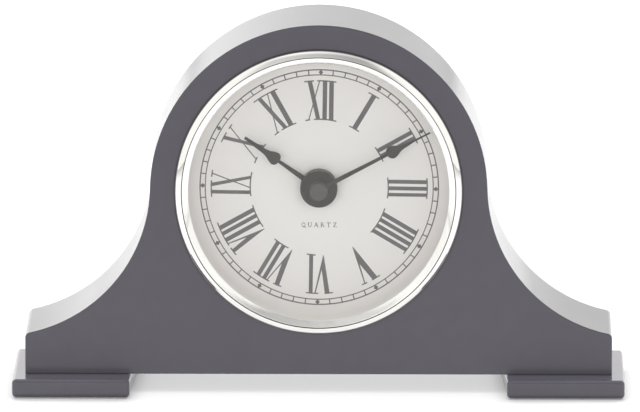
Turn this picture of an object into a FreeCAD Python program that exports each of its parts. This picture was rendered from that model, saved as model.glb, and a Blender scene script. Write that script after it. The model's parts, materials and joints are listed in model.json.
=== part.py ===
import FreeCAD, Part
import math
import os

from FreeCAD import Vector

# Mantel clock with an arched wooden case on two feet and a quartz movement behind a 100 mm dial.
# Frame: +Z up, +Y towards the back, +X to the right of someone facing the dial. Origin at the
# centre of the footprint, on the surface that the clock stands on. Millimetres, degrees.
# Dial angles are measured clockwise from twelve, as seen from the front.

# ---- driving dimensions: case and feet ---------------------------------------------------------
FOOT_DEPTH = 64.0
FOOT_LENGTH = 45.2
FEET_WIDTH = 235.6            # over both feet, the clock's overall width
FOOT_TOP = 7.45
FOOT_ROUND = 1.6
FOOT_FLARE = 3.0              # the inner end slants, so a foot is this much longer at its back
PAD_PROUD = 0.4
PAD_THICK = 1.2
PAD_R = 6.5
PAD_INSET = 10.5              # from the foot's front and back faces to a pad's centre

CASE_WIDTH = 226.0
CASE_DEPTH = 50.0
FRONT_LEDGE = 12.4            # foot in front of the case
ARCH_R = 64.9
ARCH_Z = 78.8                 # height of the arch's centre, which is the dial's centre
SWEEP_R = 59.0
SWEEP_Z = 81.2
SHOULDER_ROUND = 2.0
BASE_ROUND = 0.4
EDGE_ROUND = 0.45

# ---- driving dimensions: dial insert -----------------------------------------------------------
DIAL_DEPTH = 12.4             # dial face behind the front of the case
DIAL_R = 51.4
DIAL_THICK = 0.8
PAN_THICK = 2.0
INSERT_BORE_R = 51.5
REBATE_R = 53.45
REBATE_DEPTH = 2.4
THROUGH_BORE_R = 46.8
BEZEL_R = 55.4
BEZEL_FOOT_R = 55.0
BEZEL_LIP_R = 52.9
BEZEL_PROUD = 3.0
BEZEL_LIP = 0.3
BEZEL_FOOT = 0.45
BEZEL_SIDE = 0.25             # straight part of the rim's side, in front of its foot
BEZEL_SHOULDER = (0.75, 0.95) # rim's round passes this far inside its side and behind its front
LENS_R = 53.3
LENS_THICK = 1.35
SEAL_THICK = 0.25
SEAL_INNER_R = 52.75
REFLECTOR_R = 50.2            # clear radius of the visible dial
REFLECTOR_RISE = 1.2          # from the end of the reflector's bore to its rim
REFLECTOR_BOW = 0.4           # share of the rise that is reached half way across the rim

# ---- driving dimensions: movement --------------------------------------------------------------
BODY_SIZE = 56.0
BODY_DEPTH = 16.0
BODY_CORNER = 3.0
BODY_SPLIT = 10.0             # front housing's share of the depth
BODY_WALL = 1.4
FRONT_WALL = 1.5
REAR_WALL = 1.5
BAY_FLOOR = 1.0
BAY_TOP = -11.6               # battery bay's upper wall, below the hands' axis
BAY_DIVIDER = 1.2
SEAL_RING_THICK = 0.8
SEAL_RING_R = 9.0
BUSH_R = 4.0
BUSH_FLANGE_R = 5.5
BUSH_FLANGE = 0.4
BUSH_PROUD = 3.2              # in front of the dial
HOUR_PIPE_R = 2.7
MINUTE_SHAFT_R = 1.8
MINUTE_TENON_R = 1.4
RUNNING = 0.05                # radial clearance of every running fit
WASHER_R = 6.2
WASHER_THICK = 0.5
NUT_FLATS = 10.0
NUT_THICK = 2.2
PIVOT_R = 0.4
ARBOR_R = 0.5
STEM_R = 1.2                  # minute arbor behind the plate, where the centre wheel sits
STEM_END = 7.75
CENTRE_HUB_R = 2.4

CELL_R = 7.1
CELL_LENGTH = 50.2
CELL_NUB_R = 2.7
CELL_NUB = 1.3
CELL_ROUND = 0.7
CELL_DEPTH = 8.3              # cell's axis behind the housing's front face

# ---- driving dimensions: hands -----------------------------------------------------------------
HOUR_ANGLE = 305.0
MINUTE_ANGLE = 62.4
HAND_THICK = 0.5
HOUR_BLADE_LIFT = 4.7         # blade above the dial
MINUTE_BLADE_LIFT = 6.6
BOSS_R = 7.16
BOSS_BORE_R = 6.45
BOSS_BOTTOM = 0.4
BOSS_ROOF = 4.2
BOSS_FACE = 5.3
BOSS_RIM = 6.0
HUB_R = 2.6
CAP_R = 3.45
CAP_FRONT = 12.5              # face of the cap above the dial
CAP_ROUND = 0.35
TENON_TOP = 10.0

# ---- places worked out from them ---------------------------------------------------------------
FOOT_FRONT_Y = -FOOT_DEPTH / 2
CASE_FRONT_Y = FOOT_FRONT_Y + FRONT_LEDGE
CASE_BACK_Y = CASE_FRONT_Y + CASE_DEPTH
DIAL_Y = CASE_FRONT_Y + DIAL_DEPTH
SHOULDER_Y = DIAL_Y + DIAL_THICK + PAN_THICK
BODY_Y = SHOULDER_Y + SEAL_RING_THICK
FOOT_CENTRE_X = (FEET_WIDTH - FOOT_LENGTH) / 2
CASE_CENTRE_Y = (CASE_FRONT_Y + CASE_BACK_Y) / 2

# Gear layers, as depths behind the housing's front face.
HOUR_LAYER = (2.3, 3.2)
MINUTE_PINION_LAYER = (2.2, 3.6)
MOTION_LAYER = (3.7, 4.5)
CANNON_LAYER = (3.5, 4.8)
PLATE_LAYER = (5.2, 6.2)
CENTRE_LAYER = (6.6, 7.4)
THIRD_PINION_LAYER = (6.5, 7.7)
THIRD_LAYER = (8.0, 8.7)
SECONDS_PINION_LAYER = (7.9, 9.0)
SECONDS_LAYER = (9.2, 9.8)
INTERMEDIATE_PINION_LAYER = (9.1, 10.1)
INTERMEDIATE_LAYER = (10.5, 11.1)
ROTOR_PINION_LAYER = (10.3, 11.4)
ROTOR_LAYER = (6.8, 9.8)
STATOR_LAYER = (7.8, 8.8)
BOSS_LAYER = (12.0, BODY_DEPTH - REAR_WALL)
PIVOT_END = 13.2

# Tooth counts and modules. The rotor makes 1800 turns while the minute hand makes one.
CENTRE_TEETH, THIRD_PINION_TEETH = 64, 8
THIRD_TEETH, SECONDS_PINION_TEETH = 60, 8
SECONDS_TEETH, INTERMEDIATE_PINION_TEETH = 60, 8
INTERMEDIATE_TEETH, ROTOR_PINION_TEETH = 40, 10
CANNON_TEETH, MOTION_TEETH = 16, 48
MOTION_PINION_TEETH, HOUR_TEETH = 12, 48
SET_TEETH = 24
THIRD_MODULE = 0.30
ROTOR_MODULE = 0.26
MOTION_MODULE = 0.30
THIRD_DISTANCE = THIRD_MODULE * (THIRD_TEETH + SECONDS_PINION_TEETH) / 2
CENTRE_MODULE = 2 * THIRD_DISTANCE / (CENTRE_TEETH + THIRD_PINION_TEETH)
INTERMEDIATE_DISTANCE = THIRD_MODULE * (SECONDS_TEETH + INTERMEDIATE_PINION_TEETH) / 2
ROTOR_DISTANCE = ROTOR_MODULE * (INTERMEDIATE_TEETH + ROTOR_PINION_TEETH) / 2
MOTION_DISTANCE = MOTION_MODULE * (CANNON_TEETH + MOTION_TEETH) / 2
HOUR_MODULE = 2 * MOTION_DISTANCE / (MOTION_PINION_TEETH + HOUR_TEETH)
SET_DISTANCE = MOTION_MODULE * (MOTION_TEETH + SET_TEETH) / 2

# Directions from one axis to the next, as dial angles.
THIRD_DIRECTION = 300.0
INTERMEDIATE_DIRECTION = 40.0
ROTOR_DIRECTION = 55.0
MOTION_DIRECTION = 90.0
SET_DIRECTION = 60.0

# Clock-tooth form: radial flanks below the pitch circle and a pointed arch above it.
TOOTH_SHARE = 0.43            # of the pitch, at the pitch circle
ADDENDUM = 0.85
DEDENDUM = 1.3
SHOULDER_HEIGHT = 0.6         # of the addendum, where the tip starts to close in
SHOULDER_SHARE = 0.62         # of the tooth's half width, at that height
FULL_TURN = 360.0
SAME_PLACE = 1e-4              # tolerance when picking edges


# ---- helpers -----------------------------------------------------------------------------------
def step_along(start, angle, distance):
    """The (x, z) point a distance from start in the direction of a dial angle."""
    turn = math.radians(angle)
    return start[0] + distance * math.sin(turn), start[1] + distance * math.cos(turn)


HANDS_AXIS = (0.0, 0.0)
THIRD_AXIS = step_along(HANDS_AXIS, THIRD_DIRECTION, THIRD_DISTANCE)
INTERMEDIATE_AXIS = step_along(HANDS_AXIS, INTERMEDIATE_DIRECTION, INTERMEDIATE_DISTANCE)
ROTOR_AXIS = step_along(INTERMEDIATE_AXIS, ROTOR_DIRECTION, ROTOR_DISTANCE)
MOTION_AXIS = step_along(HANDS_AXIS, MOTION_DIRECTION, MOTION_DISTANCE)
SET_AXIS = step_along(MOTION_AXIS, SET_DIRECTION, SET_DISTANCE)


def lift(height):
    """Y of a plane in front of the dial."""
    return DIAL_Y - height


def depth(behind):
    """Y of a plane behind the housing's front face."""
    return BODY_Y + behind


def rod(radius, y_one, y_two, axis=HANDS_AXIS):
    """Cylinder along Y; its axis is given relative to the hands' axis."""
    low, high = min(y_one, y_two), max(y_one, y_two)
    foot = Vector(axis[0], low, ARCH_Z + axis[1])
    return Part.makeCylinder(radius, high - low, foot, Vector(0, 1, 0))


def tube(outer, inner, y_one, y_two, axis=HANDS_AXIS):
    return rod(outer, y_one, y_two, axis).cut(rod(inner, y_one, y_two, axis))


def layer_rod(radius, layer, axis):
    return rod(radius, depth(layer[0]), depth(layer[1]), axis)


def block(x_span, y_span, z_span):
    """Box between two values on each axis."""
    sizes = [span[1] - span[0] for span in (x_span, y_span, z_span)]
    return Part.makeBox(*sizes, Vector(x_span[0], y_span[0], z_span[0]))


def body_block(x_span, layer, z_span):
    """Box in the movement, its heights taken from the hands' axis."""
    heights = (ARCH_Z + z_span[0], ARCH_Z + z_span[1])
    return block(x_span, (depth(layer[0]), depth(layer[1])), heights)


def fuse_all(shapes):
    whole = shapes[0]
    if len(shapes) > 1:
        whole = whole.fuse(shapes[1:])
    return whole.removeSplitter()


def lathe(edges):
    """Solid of revolution about the hands' axis, from a closed profile in the (radius, Y) plane."""
    face = Part.Face(Part.Wire(edges))
    return face.revolve(Vector(0, 0, ARCH_Z), Vector(0, 1, 0), FULL_TURN)


def profile_point(radius, y):
    return Vector(radius, y, ARCH_Z)


def profile_lines(points, closed=False):
    """Straight edges through (radius, Y) points."""
    corners = [profile_point(*point) for point in points]
    if closed:
        corners.append(corners[0])
    return [Part.makeLine(a, b) for a, b in zip(corners, corners[1:])]


def arc(start, middle, end):
    return Part.Arc(start, middle, end).toShape()


def facing(radius, angle, y=0.0):
    """Point on the XZ plane at a radius and dial angle from the hands' axis."""
    x, z = step_along(HANDS_AXIS, angle, radius)
    return Vector(x, y, z)


# ---- gears -------------------------------------------------------------------------------------
def gear(teeth, module, layer, axis, phase=0.0):
    """Clock gear in a layer of the movement; one tooth points along the phase angle."""
    pitch_r = module * teeth / 2
    root_r = pitch_r - DEDENDUM * module
    tip_r = pitch_r + ADDENDUM * module
    shoulder_r = pitch_r + ADDENDUM * module * SHOULDER_HEIGHT
    spacing = FULL_TURN / teeth
    half = TOOTH_SHARE * spacing / 2
    closer = half * SHOULDER_SHARE
    edges = []
    for number in range(teeth):
        middle = phase + number * spacing
        left, right = middle - half, middle + half
        tip = facing(tip_r, middle)
        edges += [
            Part.makeLine(facing(root_r, left), facing(pitch_r, left)),
            arc(facing(pitch_r, left), facing(shoulder_r, middle - closer), tip),
            arc(tip, facing(shoulder_r, middle + closer), facing(pitch_r, right)),
            Part.makeLine(facing(pitch_r, right), facing(root_r, right)),
            arc(facing(root_r, right), facing(root_r, middle + spacing / 2),
                facing(root_r, left + spacing)),
        ]
    face = Part.Face(Part.Wire(edges))
    face.translate(Vector(axis[0], depth(layer[0]), ARCH_Z + axis[1]))
    return face.extrude(Vector(0, layer[1] - layer[0], 0))


def meshing_phase(direction, teeth, phase, partner_teeth):
    """Phase of the partner gear, met in a direction, so that its gap takes the first gear's tooth."""
    place = teeth * (direction - phase) / FULL_TURN
    return direction + FULL_TURN / 2 - (0.5 - place) * FULL_TURN / partner_teeth


# ---- case and feet -----------------------------------------------------------------------------
def case_outline():
    """Front outline: flat base, short sides, hollow sweeps and a round arch, mirrored about X = 0."""
    half = CASE_WIDTH / 2
    reach = ARCH_R + SWEEP_R
    sweep_x = math.sqrt(reach ** 2 - (SWEEP_Z - ARCH_Z) ** 2)
    arch = Vector(0, 0, ARCH_Z)
    sweep = Vector(sweep_x, 0, SWEEP_Z)
    joined = arch + (sweep - arch) * (ARCH_R / reach)
    corner_x = half - SHOULDER_ROUND
    drop = math.sqrt((SWEEP_R + SHOULDER_ROUND) ** 2 - (sweep_x - corner_x) ** 2)
    corner = Vector(corner_x, 0, SWEEP_Z - drop)
    shoulder = sweep + (corner - sweep) * (SWEEP_R / (SWEEP_R + SHOULDER_ROUND))
    side_top = corner + Vector(SHOULDER_ROUND, 0, 0)
    outward = (shoulder - corner).normalize() + Vector(1, 0, 0)
    corner_middle = corner + outward.normalize() * SHOULDER_ROUND
    inward = (joined - sweep).normalize() + (shoulder - sweep).normalize()
    sweep_middle = sweep + inward.normalize() * SWEEP_R
    side_foot = Vector(half, 0, FOOT_TOP + BASE_ROUND)
    base_end = Vector(half - BASE_ROUND, 0, FOOT_TOP)
    round_way = Vector(1, 0, -1).normalize() * BASE_ROUND
    base_middle = Vector(half - BASE_ROUND, 0, FOOT_TOP + BASE_ROUND) + round_way
    right = [
        arc(base_end, base_middle, side_foot),
        Part.makeLine(side_foot, side_top),
        arc(side_top, corner_middle, shoulder),
        arc(shoulder, sweep_middle, joined),
    ]
    left = [edge.mirror(Vector(0, 0, 0), Vector(1, 0, 0)) for edge in right]
    mirrored = Vector(-joined.x, 0, joined.z)
    crown = arc(joined, arch + Vector(0, 0, ARCH_R), mirrored)
    base = Part.makeLine(Vector(-base_end.x, 0, base_end.z), base_end)
    return Part.Wire(Part.__sortEdges__(right + [crown] + left + [base]))


def end_edges(solid, y):
    """Edges that lie in a plane of constant Y."""
    flat = []
    for edge in solid.Edges:
        box = edge.BoundBox
        if abs(box.YMin - y) < SAME_PLACE and abs(box.YMax - y) < SAME_PLACE:
            flat.append(edge)
    return flat


def foot_screw_places():
    """Two wood screws up through each foot, under the middle of the case."""
    spread = FOOT_LENGTH / 4
    places = []
    for side in (-1, 1):
        for shift in (-spread, spread):
            places.append((side * FOOT_CENTRE_X + shift, CASE_CENTRE_Y))
    return places


SCREW_R = 1.75
SCREW_HEAD_R = 3.5
SCREW_HEAD = 2.4
SCREW_LENGTH = 18.0
SCREW_RECESS = 0.8            # head below the foot's underside
CROSS_REACH = 1.925           # driver cross in a screw's head
CROSS_HALF = 0.5
CROSS_DEPTH = 1.1


def screw_cavity(x, y, slack):
    """Countersunk wood screw along +Z, or the hole for it when slack is given."""
    base = PAD_PROUD + SCREW_RECESS
    head = Part.makeCone(SCREW_HEAD_R + slack, SCREW_R + slack, SCREW_HEAD, Vector(x, y, base))
    shank = Part.makeCylinder(SCREW_R + slack, SCREW_LENGTH + slack, Vector(x, y, base))
    return head.fuse(shank)


def build_foot_screws():
    screws = []
    for x, y in foot_screw_places():
        base = PAD_PROUD + SCREW_RECESS
        heights = (base, base + CROSS_DEPTH)
        cross = block((x - CROSS_REACH, x + CROSS_REACH), (y - CROSS_HALF, y + CROSS_HALF), heights)
        cross = cross.fuse(block((x - CROSS_HALF, x + CROSS_HALF),
                                 (y - CROSS_REACH, y + CROSS_REACH), heights))
        screws.append(screw_cavity(x, y, 0).cut(cross))
    return Part.makeCompound(screws)


def build_case():
    outline = case_outline()
    outline.translate(Vector(0, CASE_FRONT_Y, 0))
    solid = Part.Face(outline).extrude(Vector(0, CASE_DEPTH, 0))
    rims = end_edges(solid, CASE_FRONT_Y) + end_edges(solid, CASE_BACK_Y)
    solid = solid.makeFillet(EDGE_ROUND, rims)
    cuts = [
        rod(REBATE_R, CASE_FRONT_Y, CASE_FRONT_Y + REBATE_DEPTH),
        rod(INSERT_BORE_R, CASE_FRONT_Y, SHOULDER_Y),
        rod(THROUGH_BORE_R, CASE_FRONT_Y, CASE_BACK_Y),
    ]
    cuts += [screw_cavity(x, y, RUNNING) for x, y in foot_screw_places()]
    cuts += [pan_screw(angle, RUNNING) for angle in PAN_SCREW_ANGLES]
    return solid.cut(cuts)


def pad_places(side):
    reach = FOOT_DEPTH / 2 - PAD_INSET
    spread = FOOT_LENGTH / 2 - PAD_INSET
    middle = side * FOOT_CENTRE_X
    return [(middle + a * spread, b * reach) for a in (-1, 1) for b in (-1, 1)]


def build_foot(side):
    """Flat block with a slanted inner end, recessed below for its pads and screws."""
    outer = side * FEET_WIDTH / 2
    inner = side * (FEET_WIDTH / 2 - FOOT_LENGTH)
    flared = inner - side * FOOT_FLARE
    corners = [Vector(outer, FOOT_FRONT_Y, PAD_PROUD), Vector(inner, FOOT_FRONT_Y, PAD_PROUD),
               Vector(flared, -FOOT_FRONT_Y, PAD_PROUD), Vector(outer, -FOOT_FRONT_Y, PAD_PROUD)]
    plan = Part.Face(Part.makePolygon(corners + corners[:1]))
    foot = plan.extrude(Vector(0, 0, FOOT_TOP - PAD_PROUD))
    foot = foot.makeFillet(FOOT_ROUND, foot.Edges)
    pocket = PAD_THICK - PAD_PROUD
    cuts = [Part.makeCylinder(PAD_R + RUNNING, pocket, Vector(x, y, PAD_PROUD))
            for x, y in pad_places(side)]
    for x, y in foot_screw_places():
        if x * side > 0:
            cuts.append(screw_cavity(x, y, RUNNING))
            cuts.append(Part.makeCylinder(SCREW_HEAD_R + RUNNING, SCREW_RECESS,
                                          Vector(x, y, PAD_PROUD)))
    return foot.cut(cuts)


def build_pads():
    pads = []
    for side in (-1, 1):
        for x, y in pad_places(side):
            pads.append(Part.makeCylinder(PAD_R, PAD_THICK, Vector(x, y, 0)))
    return Part.makeCompound(pads)


# ---- bezel, glass and dial ---------------------------------------------------------------------
def build_bezel():
    """Rounded bright rim on the front of the case, with a lip that holds the glass."""
    face = CASE_FRONT_Y
    front = face - BEZEL_PROUD
    side_end = face - BEZEL_FOOT - BEZEL_SIDE
    start = profile_point(BEZEL_R, side_end)
    middle = profile_point(BEZEL_R - BEZEL_SHOULDER[0], front + BEZEL_SHOULDER[1])
    end = profile_point(BEZEL_LIP_R, front)
    seat_r = LENS_R + RUNNING
    rest = profile_lines([
        (BEZEL_LIP_R, front), (BEZEL_LIP_R, front + BEZEL_LIP), (seat_r, front + BEZEL_LIP),
        (seat_r, face), (BEZEL_FOOT_R, face), (BEZEL_FOOT_R, face - BEZEL_FOOT),
        (BEZEL_R, face - BEZEL_FOOT), (BEZEL_R, side_end),
    ])
    return lathe([arc(start, middle, end)] + rest)


LENS_FRONT_Y = CASE_FRONT_Y - BEZEL_PROUD + BEZEL_LIP
LENS_BACK_Y = LENS_FRONT_Y + LENS_THICK
REFLECTOR_FRONT_Y = LENS_BACK_Y + SEAL_THICK


def build_lens():
    return rod(LENS_R, LENS_FRONT_Y, LENS_BACK_Y)


def build_lens_seal():
    return tube(LENS_R, SEAL_INNER_R, LENS_BACK_Y, REFLECTOR_FRONT_Y)


def build_reflector():
    """Bright, slightly bowed rim and straight wall between the glass and the dial, with a flange."""
    floor = CASE_FRONT_Y + REBATE_DEPTH
    wall_start = REFLECTOR_FRONT_Y + REFLECTOR_RISE
    start = profile_point(SEAL_INNER_R, REFLECTOR_FRONT_Y)
    middle = profile_point((SEAL_INNER_R + REFLECTOR_R) / 2,
                           REFLECTOR_FRONT_Y + REFLECTOR_RISE * REFLECTOR_BOW)
    end = profile_point(REFLECTOR_R, wall_start)
    rest = profile_lines([
        (REFLECTOR_R, wall_start), (REFLECTOR_R, DIAL_Y), (DIAL_R, DIAL_Y), (DIAL_R, floor),
        (LENS_R, floor), (LENS_R, REFLECTOR_FRONT_Y), (SEAL_INNER_R, REFLECTOR_FRONT_Y),
    ])
    return lathe([arc(start, middle, end)] + rest)


def build_dial():
    return tube(DIAL_R, BUSH_R + RUNNING, DIAL_Y, DIAL_Y + DIAL_THICK)


PAN_SCREW_ANGLES = (60.0, 180.0, 300.0)
PAN_SCREW_CIRCLE_R = 49.1
PAN_SCREW_R = 1.0
PAN_SCREW_HEAD_R = 1.9
PAN_SCREW_LENGTH = 10.0


def pan_screw(angle, slack):
    """Small countersunk screw from the pan into the case, or its hole when slack is given."""
    x, z = step_along(HANDS_AXIS, angle, PAN_SCREW_CIRCLE_R)
    top = Vector(x, DIAL_Y + DIAL_THICK, ARCH_Z + z)
    along = Vector(0, 1, 0)
    sink = PAN_SCREW_HEAD_R - PAN_SCREW_R
    head = Part.makeCone(PAN_SCREW_HEAD_R + slack, PAN_SCREW_R + slack, sink, top, along)
    shank = Part.makeCylinder(PAN_SCREW_R + slack, PAN_SCREW_LENGTH + slack, top, along)
    return head.fuse(shank)


def build_pan():
    """Moulded pan behind the dial, screwed to the shoulder of the case."""
    pan = tube(DIAL_R, BUSH_R + RUNNING, DIAL_Y + DIAL_THICK, SHOULDER_Y)
    return pan.cut([pan_screw(angle, RUNNING) for angle in PAN_SCREW_ANGLES])


def build_pan_screws():
    return Part.makeCompound([pan_screw(angle, 0) for angle in PAN_SCREW_ANGLES])


# ---- movement: fixed pieces --------------------------------------------------------------------
INNER = BODY_SIZE / 2 - BODY_WALL
TRAIN_FLOOR = BAY_TOP + BAY_DIVIDER
COIL_AXIS_Z = 22.4
COIL_DEPTH = 8.3
COIL_SPAN = (6.2, 21.4)
COIL_CHEEK = 0.8
COIL_CHEEK_R = 3.5
COIL_WIRE_R = 3.0
COIL_TUBE_R = 1.7
CORE_HALF = 0.85
SET_SHAFT_R = 1.2
PIN_LAYER_FRONT = (0.8, FRONT_WALL)
ARBOR_PLACES = (THIRD_AXIS, INTERMEDIATE_AXIS, ROTOR_AXIS)
POST_R = 1.5                  # bearing posts in the rear housing
PLATE_SLACK = 0.2             # between the middle plate and the housing's walls
COIL_ROOM_SIDE = 0.5
COIL_ROOM_BELOW = 0.4


def body_shell(layer):
    """Rounded square block between two depths."""
    half = BODY_SIZE / 2
    shell = body_block((-half, half), layer, (-half, half))
    upright = [edge for edge in shell.Edges
               if edge.BoundBox.YLength > (layer[1] - layer[0]) / 2]
    return shell.makeFillet(BODY_CORNER, upright)


def build_front_housing():
    shell = body_shell((0.0, BODY_SPLIT))
    cuts = [
        body_block((-INNER, INNER), (FRONT_WALL, BODY_SPLIT), (TRAIN_FLOOR, INNER)),
        body_block((-INNER, INNER), (BAY_FLOOR, BODY_SPLIT), (-INNER, BAY_TOP)),
        rod(BUSH_R + RUNNING, depth(0.0), depth(FRONT_WALL)),
        layer_rod(PIVOT_R + RUNNING, PIN_LAYER_FRONT, MOTION_AXIS),
        layer_rod(SET_SHAFT_R + RUNNING, PIN_LAYER_FRONT, SET_AXIS),
    ]
    return shell.cut(cuts)


def build_rear_housing():
    """Rear shell with bearing bosses; the battery bay is open to the back."""
    back = BODY_DEPTH
    shell = body_shell((BODY_SPLIT, back))
    shell = shell.cut([
        body_block((-INNER, INNER), (BODY_SPLIT, back - REAR_WALL), (TRAIN_FLOOR, INNER)),
        body_block((-INNER, INNER), (BODY_SPLIT, back), (-INNER, BAY_TOP)),
    ])
    axes = (HANDS_AXIS,) + ARBOR_PLACES
    shell = shell.fuse([layer_rod(POST_R, BOSS_LAYER, axis) for axis in axes])
    holes = [layer_rod(PIVOT_R + RUNNING, (BOSS_LAYER[0], PIVOT_END + RUNNING), axis)
             for axis in axes]
    holes.append(layer_rod(SET_SHAFT_R + RUNNING, (BODY_SPLIT, back), SET_AXIS))
    return shell.cut(holes)


def build_plate():
    """Middle plate that carries the front pivots of the train."""
    edge = INNER - PLATE_SLACK
    plate = body_block((-edge, edge), PLATE_LAYER, (TRAIN_FLOOR + PLATE_SLACK, edge))
    coil_room = body_block((COIL_SPAN[0] - COIL_ROOM_SIDE, COIL_SPAN[1] + COIL_ROOM_SIDE),
                           PLATE_LAYER, (COIL_AXIS_Z - COIL_CHEEK_R - COIL_ROOM_BELOW, INNER))
    holes = [layer_rod(PIVOT_R + RUNNING, PLATE_LAYER, axis)
             for axis in ARBOR_PLACES + (MOTION_AXIS,)]
    holes.append(layer_rod(MINUTE_SHAFT_R + RUNNING, PLATE_LAYER, HANDS_AXIS))
    holes.append(layer_rod(SET_SHAFT_R + RUNNING, PLATE_LAYER, SET_AXIS))
    return plate.cut([coil_room] + holes)


def build_bush():
    """Threaded centre bush, with a flange inside the front housing."""
    sleeve = rod(BUSH_R, lift(BUSH_PROUD), depth(FRONT_WALL))
    flange = layer_rod(BUSH_FLANGE_R, (FRONT_WALL, FRONT_WALL + BUSH_FLANGE), HANDS_AXIS)
    bore = rod(HOUR_PIPE_R + RUNNING, lift(BUSH_PROUD), depth(FRONT_WALL + BUSH_FLANGE))
    return sleeve.fuse(flange).cut(bore)


def build_sealing_ring():
    return tube(SEAL_RING_R, BUSH_R + RUNNING, SHOULDER_Y, BODY_Y)


def build_washer():
    return tube(WASHER_R, BUSH_R + RUNNING, DIAL_Y, lift(WASHER_THICK))


def build_nut():
    sixth = FULL_TURN / 6
    corner_r = NUT_FLATS / 2 / math.cos(math.radians(sixth / 2))
    corners = [facing(corner_r, sixth * number, lift(WASHER_THICK)) for number in range(7)]
    for corner in corners:
        corner.z += ARCH_Z
    face = Part.Face(Part.makePolygon(corners))
    nut = face.extrude(Vector(0, -NUT_THICK, 0))
    return nut.cut(rod(BUSH_R + RUNNING, lift(WASHER_THICK), lift(WASHER_THICK + NUT_THICK)))


BOARD_LAYER = (11.6, 12.5)
BOARD_X = (-26.2, -1.0)
BOARD_Z = (13.0, 26.2)
BOARD_HOLE_R = 1.0
BOARD_HOLE_INSET = 3.0
CHIP_X = (-16.0, -8.0)
CHIP_Z = (15.5, 21.5)
CHIP_THICK = 1.3
CHIP_CHAMFER = 0.4
CRYSTAL_R = 1.0
CRYSTAL_LENGTH = 6.0
CRYSTAL_ROUND = 0.3
CRYSTAL_START = (-25.0, 24.0)


def build_board():
    board = body_block(BOARD_X, BOARD_LAYER, BOARD_Z)
    place = (BOARD_X[0] + BOARD_HOLE_INSET, BOARD_Z[0] + BOARD_HOLE_INSET)
    return board.cut(layer_rod(BOARD_HOLE_R, BOARD_LAYER, place))


def build_chip():
    """Moulded chip on the board's inner face."""
    face = BOARD_LAYER[0] - CHIP_THICK
    chip = body_block(CHIP_X, (face, BOARD_LAYER[0]), CHIP_Z)
    return chip.makeChamfer(CHIP_CHAMFER, end_edges(chip, depth(face)))


def build_crystal():
    """Tuning-fork crystal in its can, lying on the board."""
    start = Vector(CRYSTAL_START[0], depth(BOARD_LAYER[0] - CRYSTAL_R), ARCH_Z + CRYSTAL_START[1])
    can = Part.makeCylinder(CRYSTAL_R, CRYSTAL_LENGTH, start, Vector(1, 0, 0))
    ends = [edge for edge in can.Edges if edge.BoundBox.XLength < SAME_PLACE]
    return can.makeFillet(CRYSTAL_ROUND, ends)


def coil_rod(radius, x_span):
    start = Vector(x_span[0], depth(COIL_DEPTH), ARCH_Z + COIL_AXIS_Z)
    return Part.makeCylinder(radius, x_span[1] - x_span[0], start, Vector(1, 0, 0))


def core_bar(x_span, slack=0.0):
    half = CORE_HALF + slack
    return body_block(x_span, (COIL_DEPTH - half, COIL_DEPTH + half),
                      (COIL_AXIS_Z - half, COIL_AXIS_Z + half))


def build_bobbin():
    left, right = COIL_SPAN
    bobbin = coil_rod(COIL_TUBE_R, COIL_SPAN).fuse([
        coil_rod(COIL_CHEEK_R, (left, left + COIL_CHEEK)),
        coil_rod(COIL_CHEEK_R, (right - COIL_CHEEK, right)),
    ])
    return bobbin.cut(core_bar(COIL_SPAN, RUNNING))


def build_winding():
    span = (COIL_SPAN[0] + COIL_CHEEK, COIL_SPAN[1] - COIL_CHEEK)
    return coil_rod(COIL_WIRE_R, span).cut(coil_rod(COIL_TUBE_R, span))


STATOR_EYE_R = 5.2
STATOR_HOLE_R = 3.5
STATOR_ARM = 2.2


def build_stator():
    """Laminated yoke round the rotor, with the bar that carries the coil."""
    arm = STATOR_ARM
    x, z = ROTOR_AXIS
    left = COIL_SPAN[0] - COIL_ROOM_SIDE - arm
    right = COIL_SPAN[1] + COIL_ROOM_SIDE + arm
    bar = (z - arm, z + arm)
    top = COIL_AXIS_Z + CORE_HALF
    parts = [
        layer_rod(STATOR_EYE_R, STATOR_LAYER, ROTOR_AXIS),
        body_block((left, x), STATOR_LAYER, bar),
        body_block((x, right), STATOR_LAYER, bar),
        body_block((left, left + arm), STATOR_LAYER, (bar[0], top)),
        body_block((right - arm, right), STATOR_LAYER, (bar[0], top)),
        core_bar((left, right)),
    ]
    return fuse_all(parts).cut(layer_rod(STATOR_HOLE_R, STATOR_LAYER, ROTOR_AXIS))


CONTACT_THICK = 0.4
CONTACT_GAP = 0.15
CONTACT_HALF = 4.5
BUTTON_TAPER = 0.7            # a contact button's tip over its root
POSITIVE_BUTTON_R = 2.4
NEGATIVE_BUTTON_R = 3.4
BAY_CENTRE_Z = (BAY_TOP - INNER) / 2


def build_contact(side, button_r):
    """Plated strip on an end wall of the battery bay, with a raised button for the cell."""
    wall = side * INNER
    face = wall - side * CONTACT_THICK
    x_span = (min(wall, face), max(wall, face))
    heights = (BAY_CENTRE_Z - CONTACT_HALF, BAY_CENTRE_Z + CONTACT_HALF)
    strip = body_block(x_span, (CELL_DEPTH - CONTACT_HALF, CELL_DEPTH + CONTACT_HALF), heights)
    reach = INNER - CONTACT_THICK - CELL_LENGTH / 2 - CONTACT_GAP
    foot = Vector(face, depth(CELL_DEPTH), ARCH_Z + BAY_CENTRE_Z)
    button = Part.makeCone(button_r, button_r * BUTTON_TAPER, reach, foot, Vector(-side, 0, 0))
    return fuse_all([strip, button])


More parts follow.
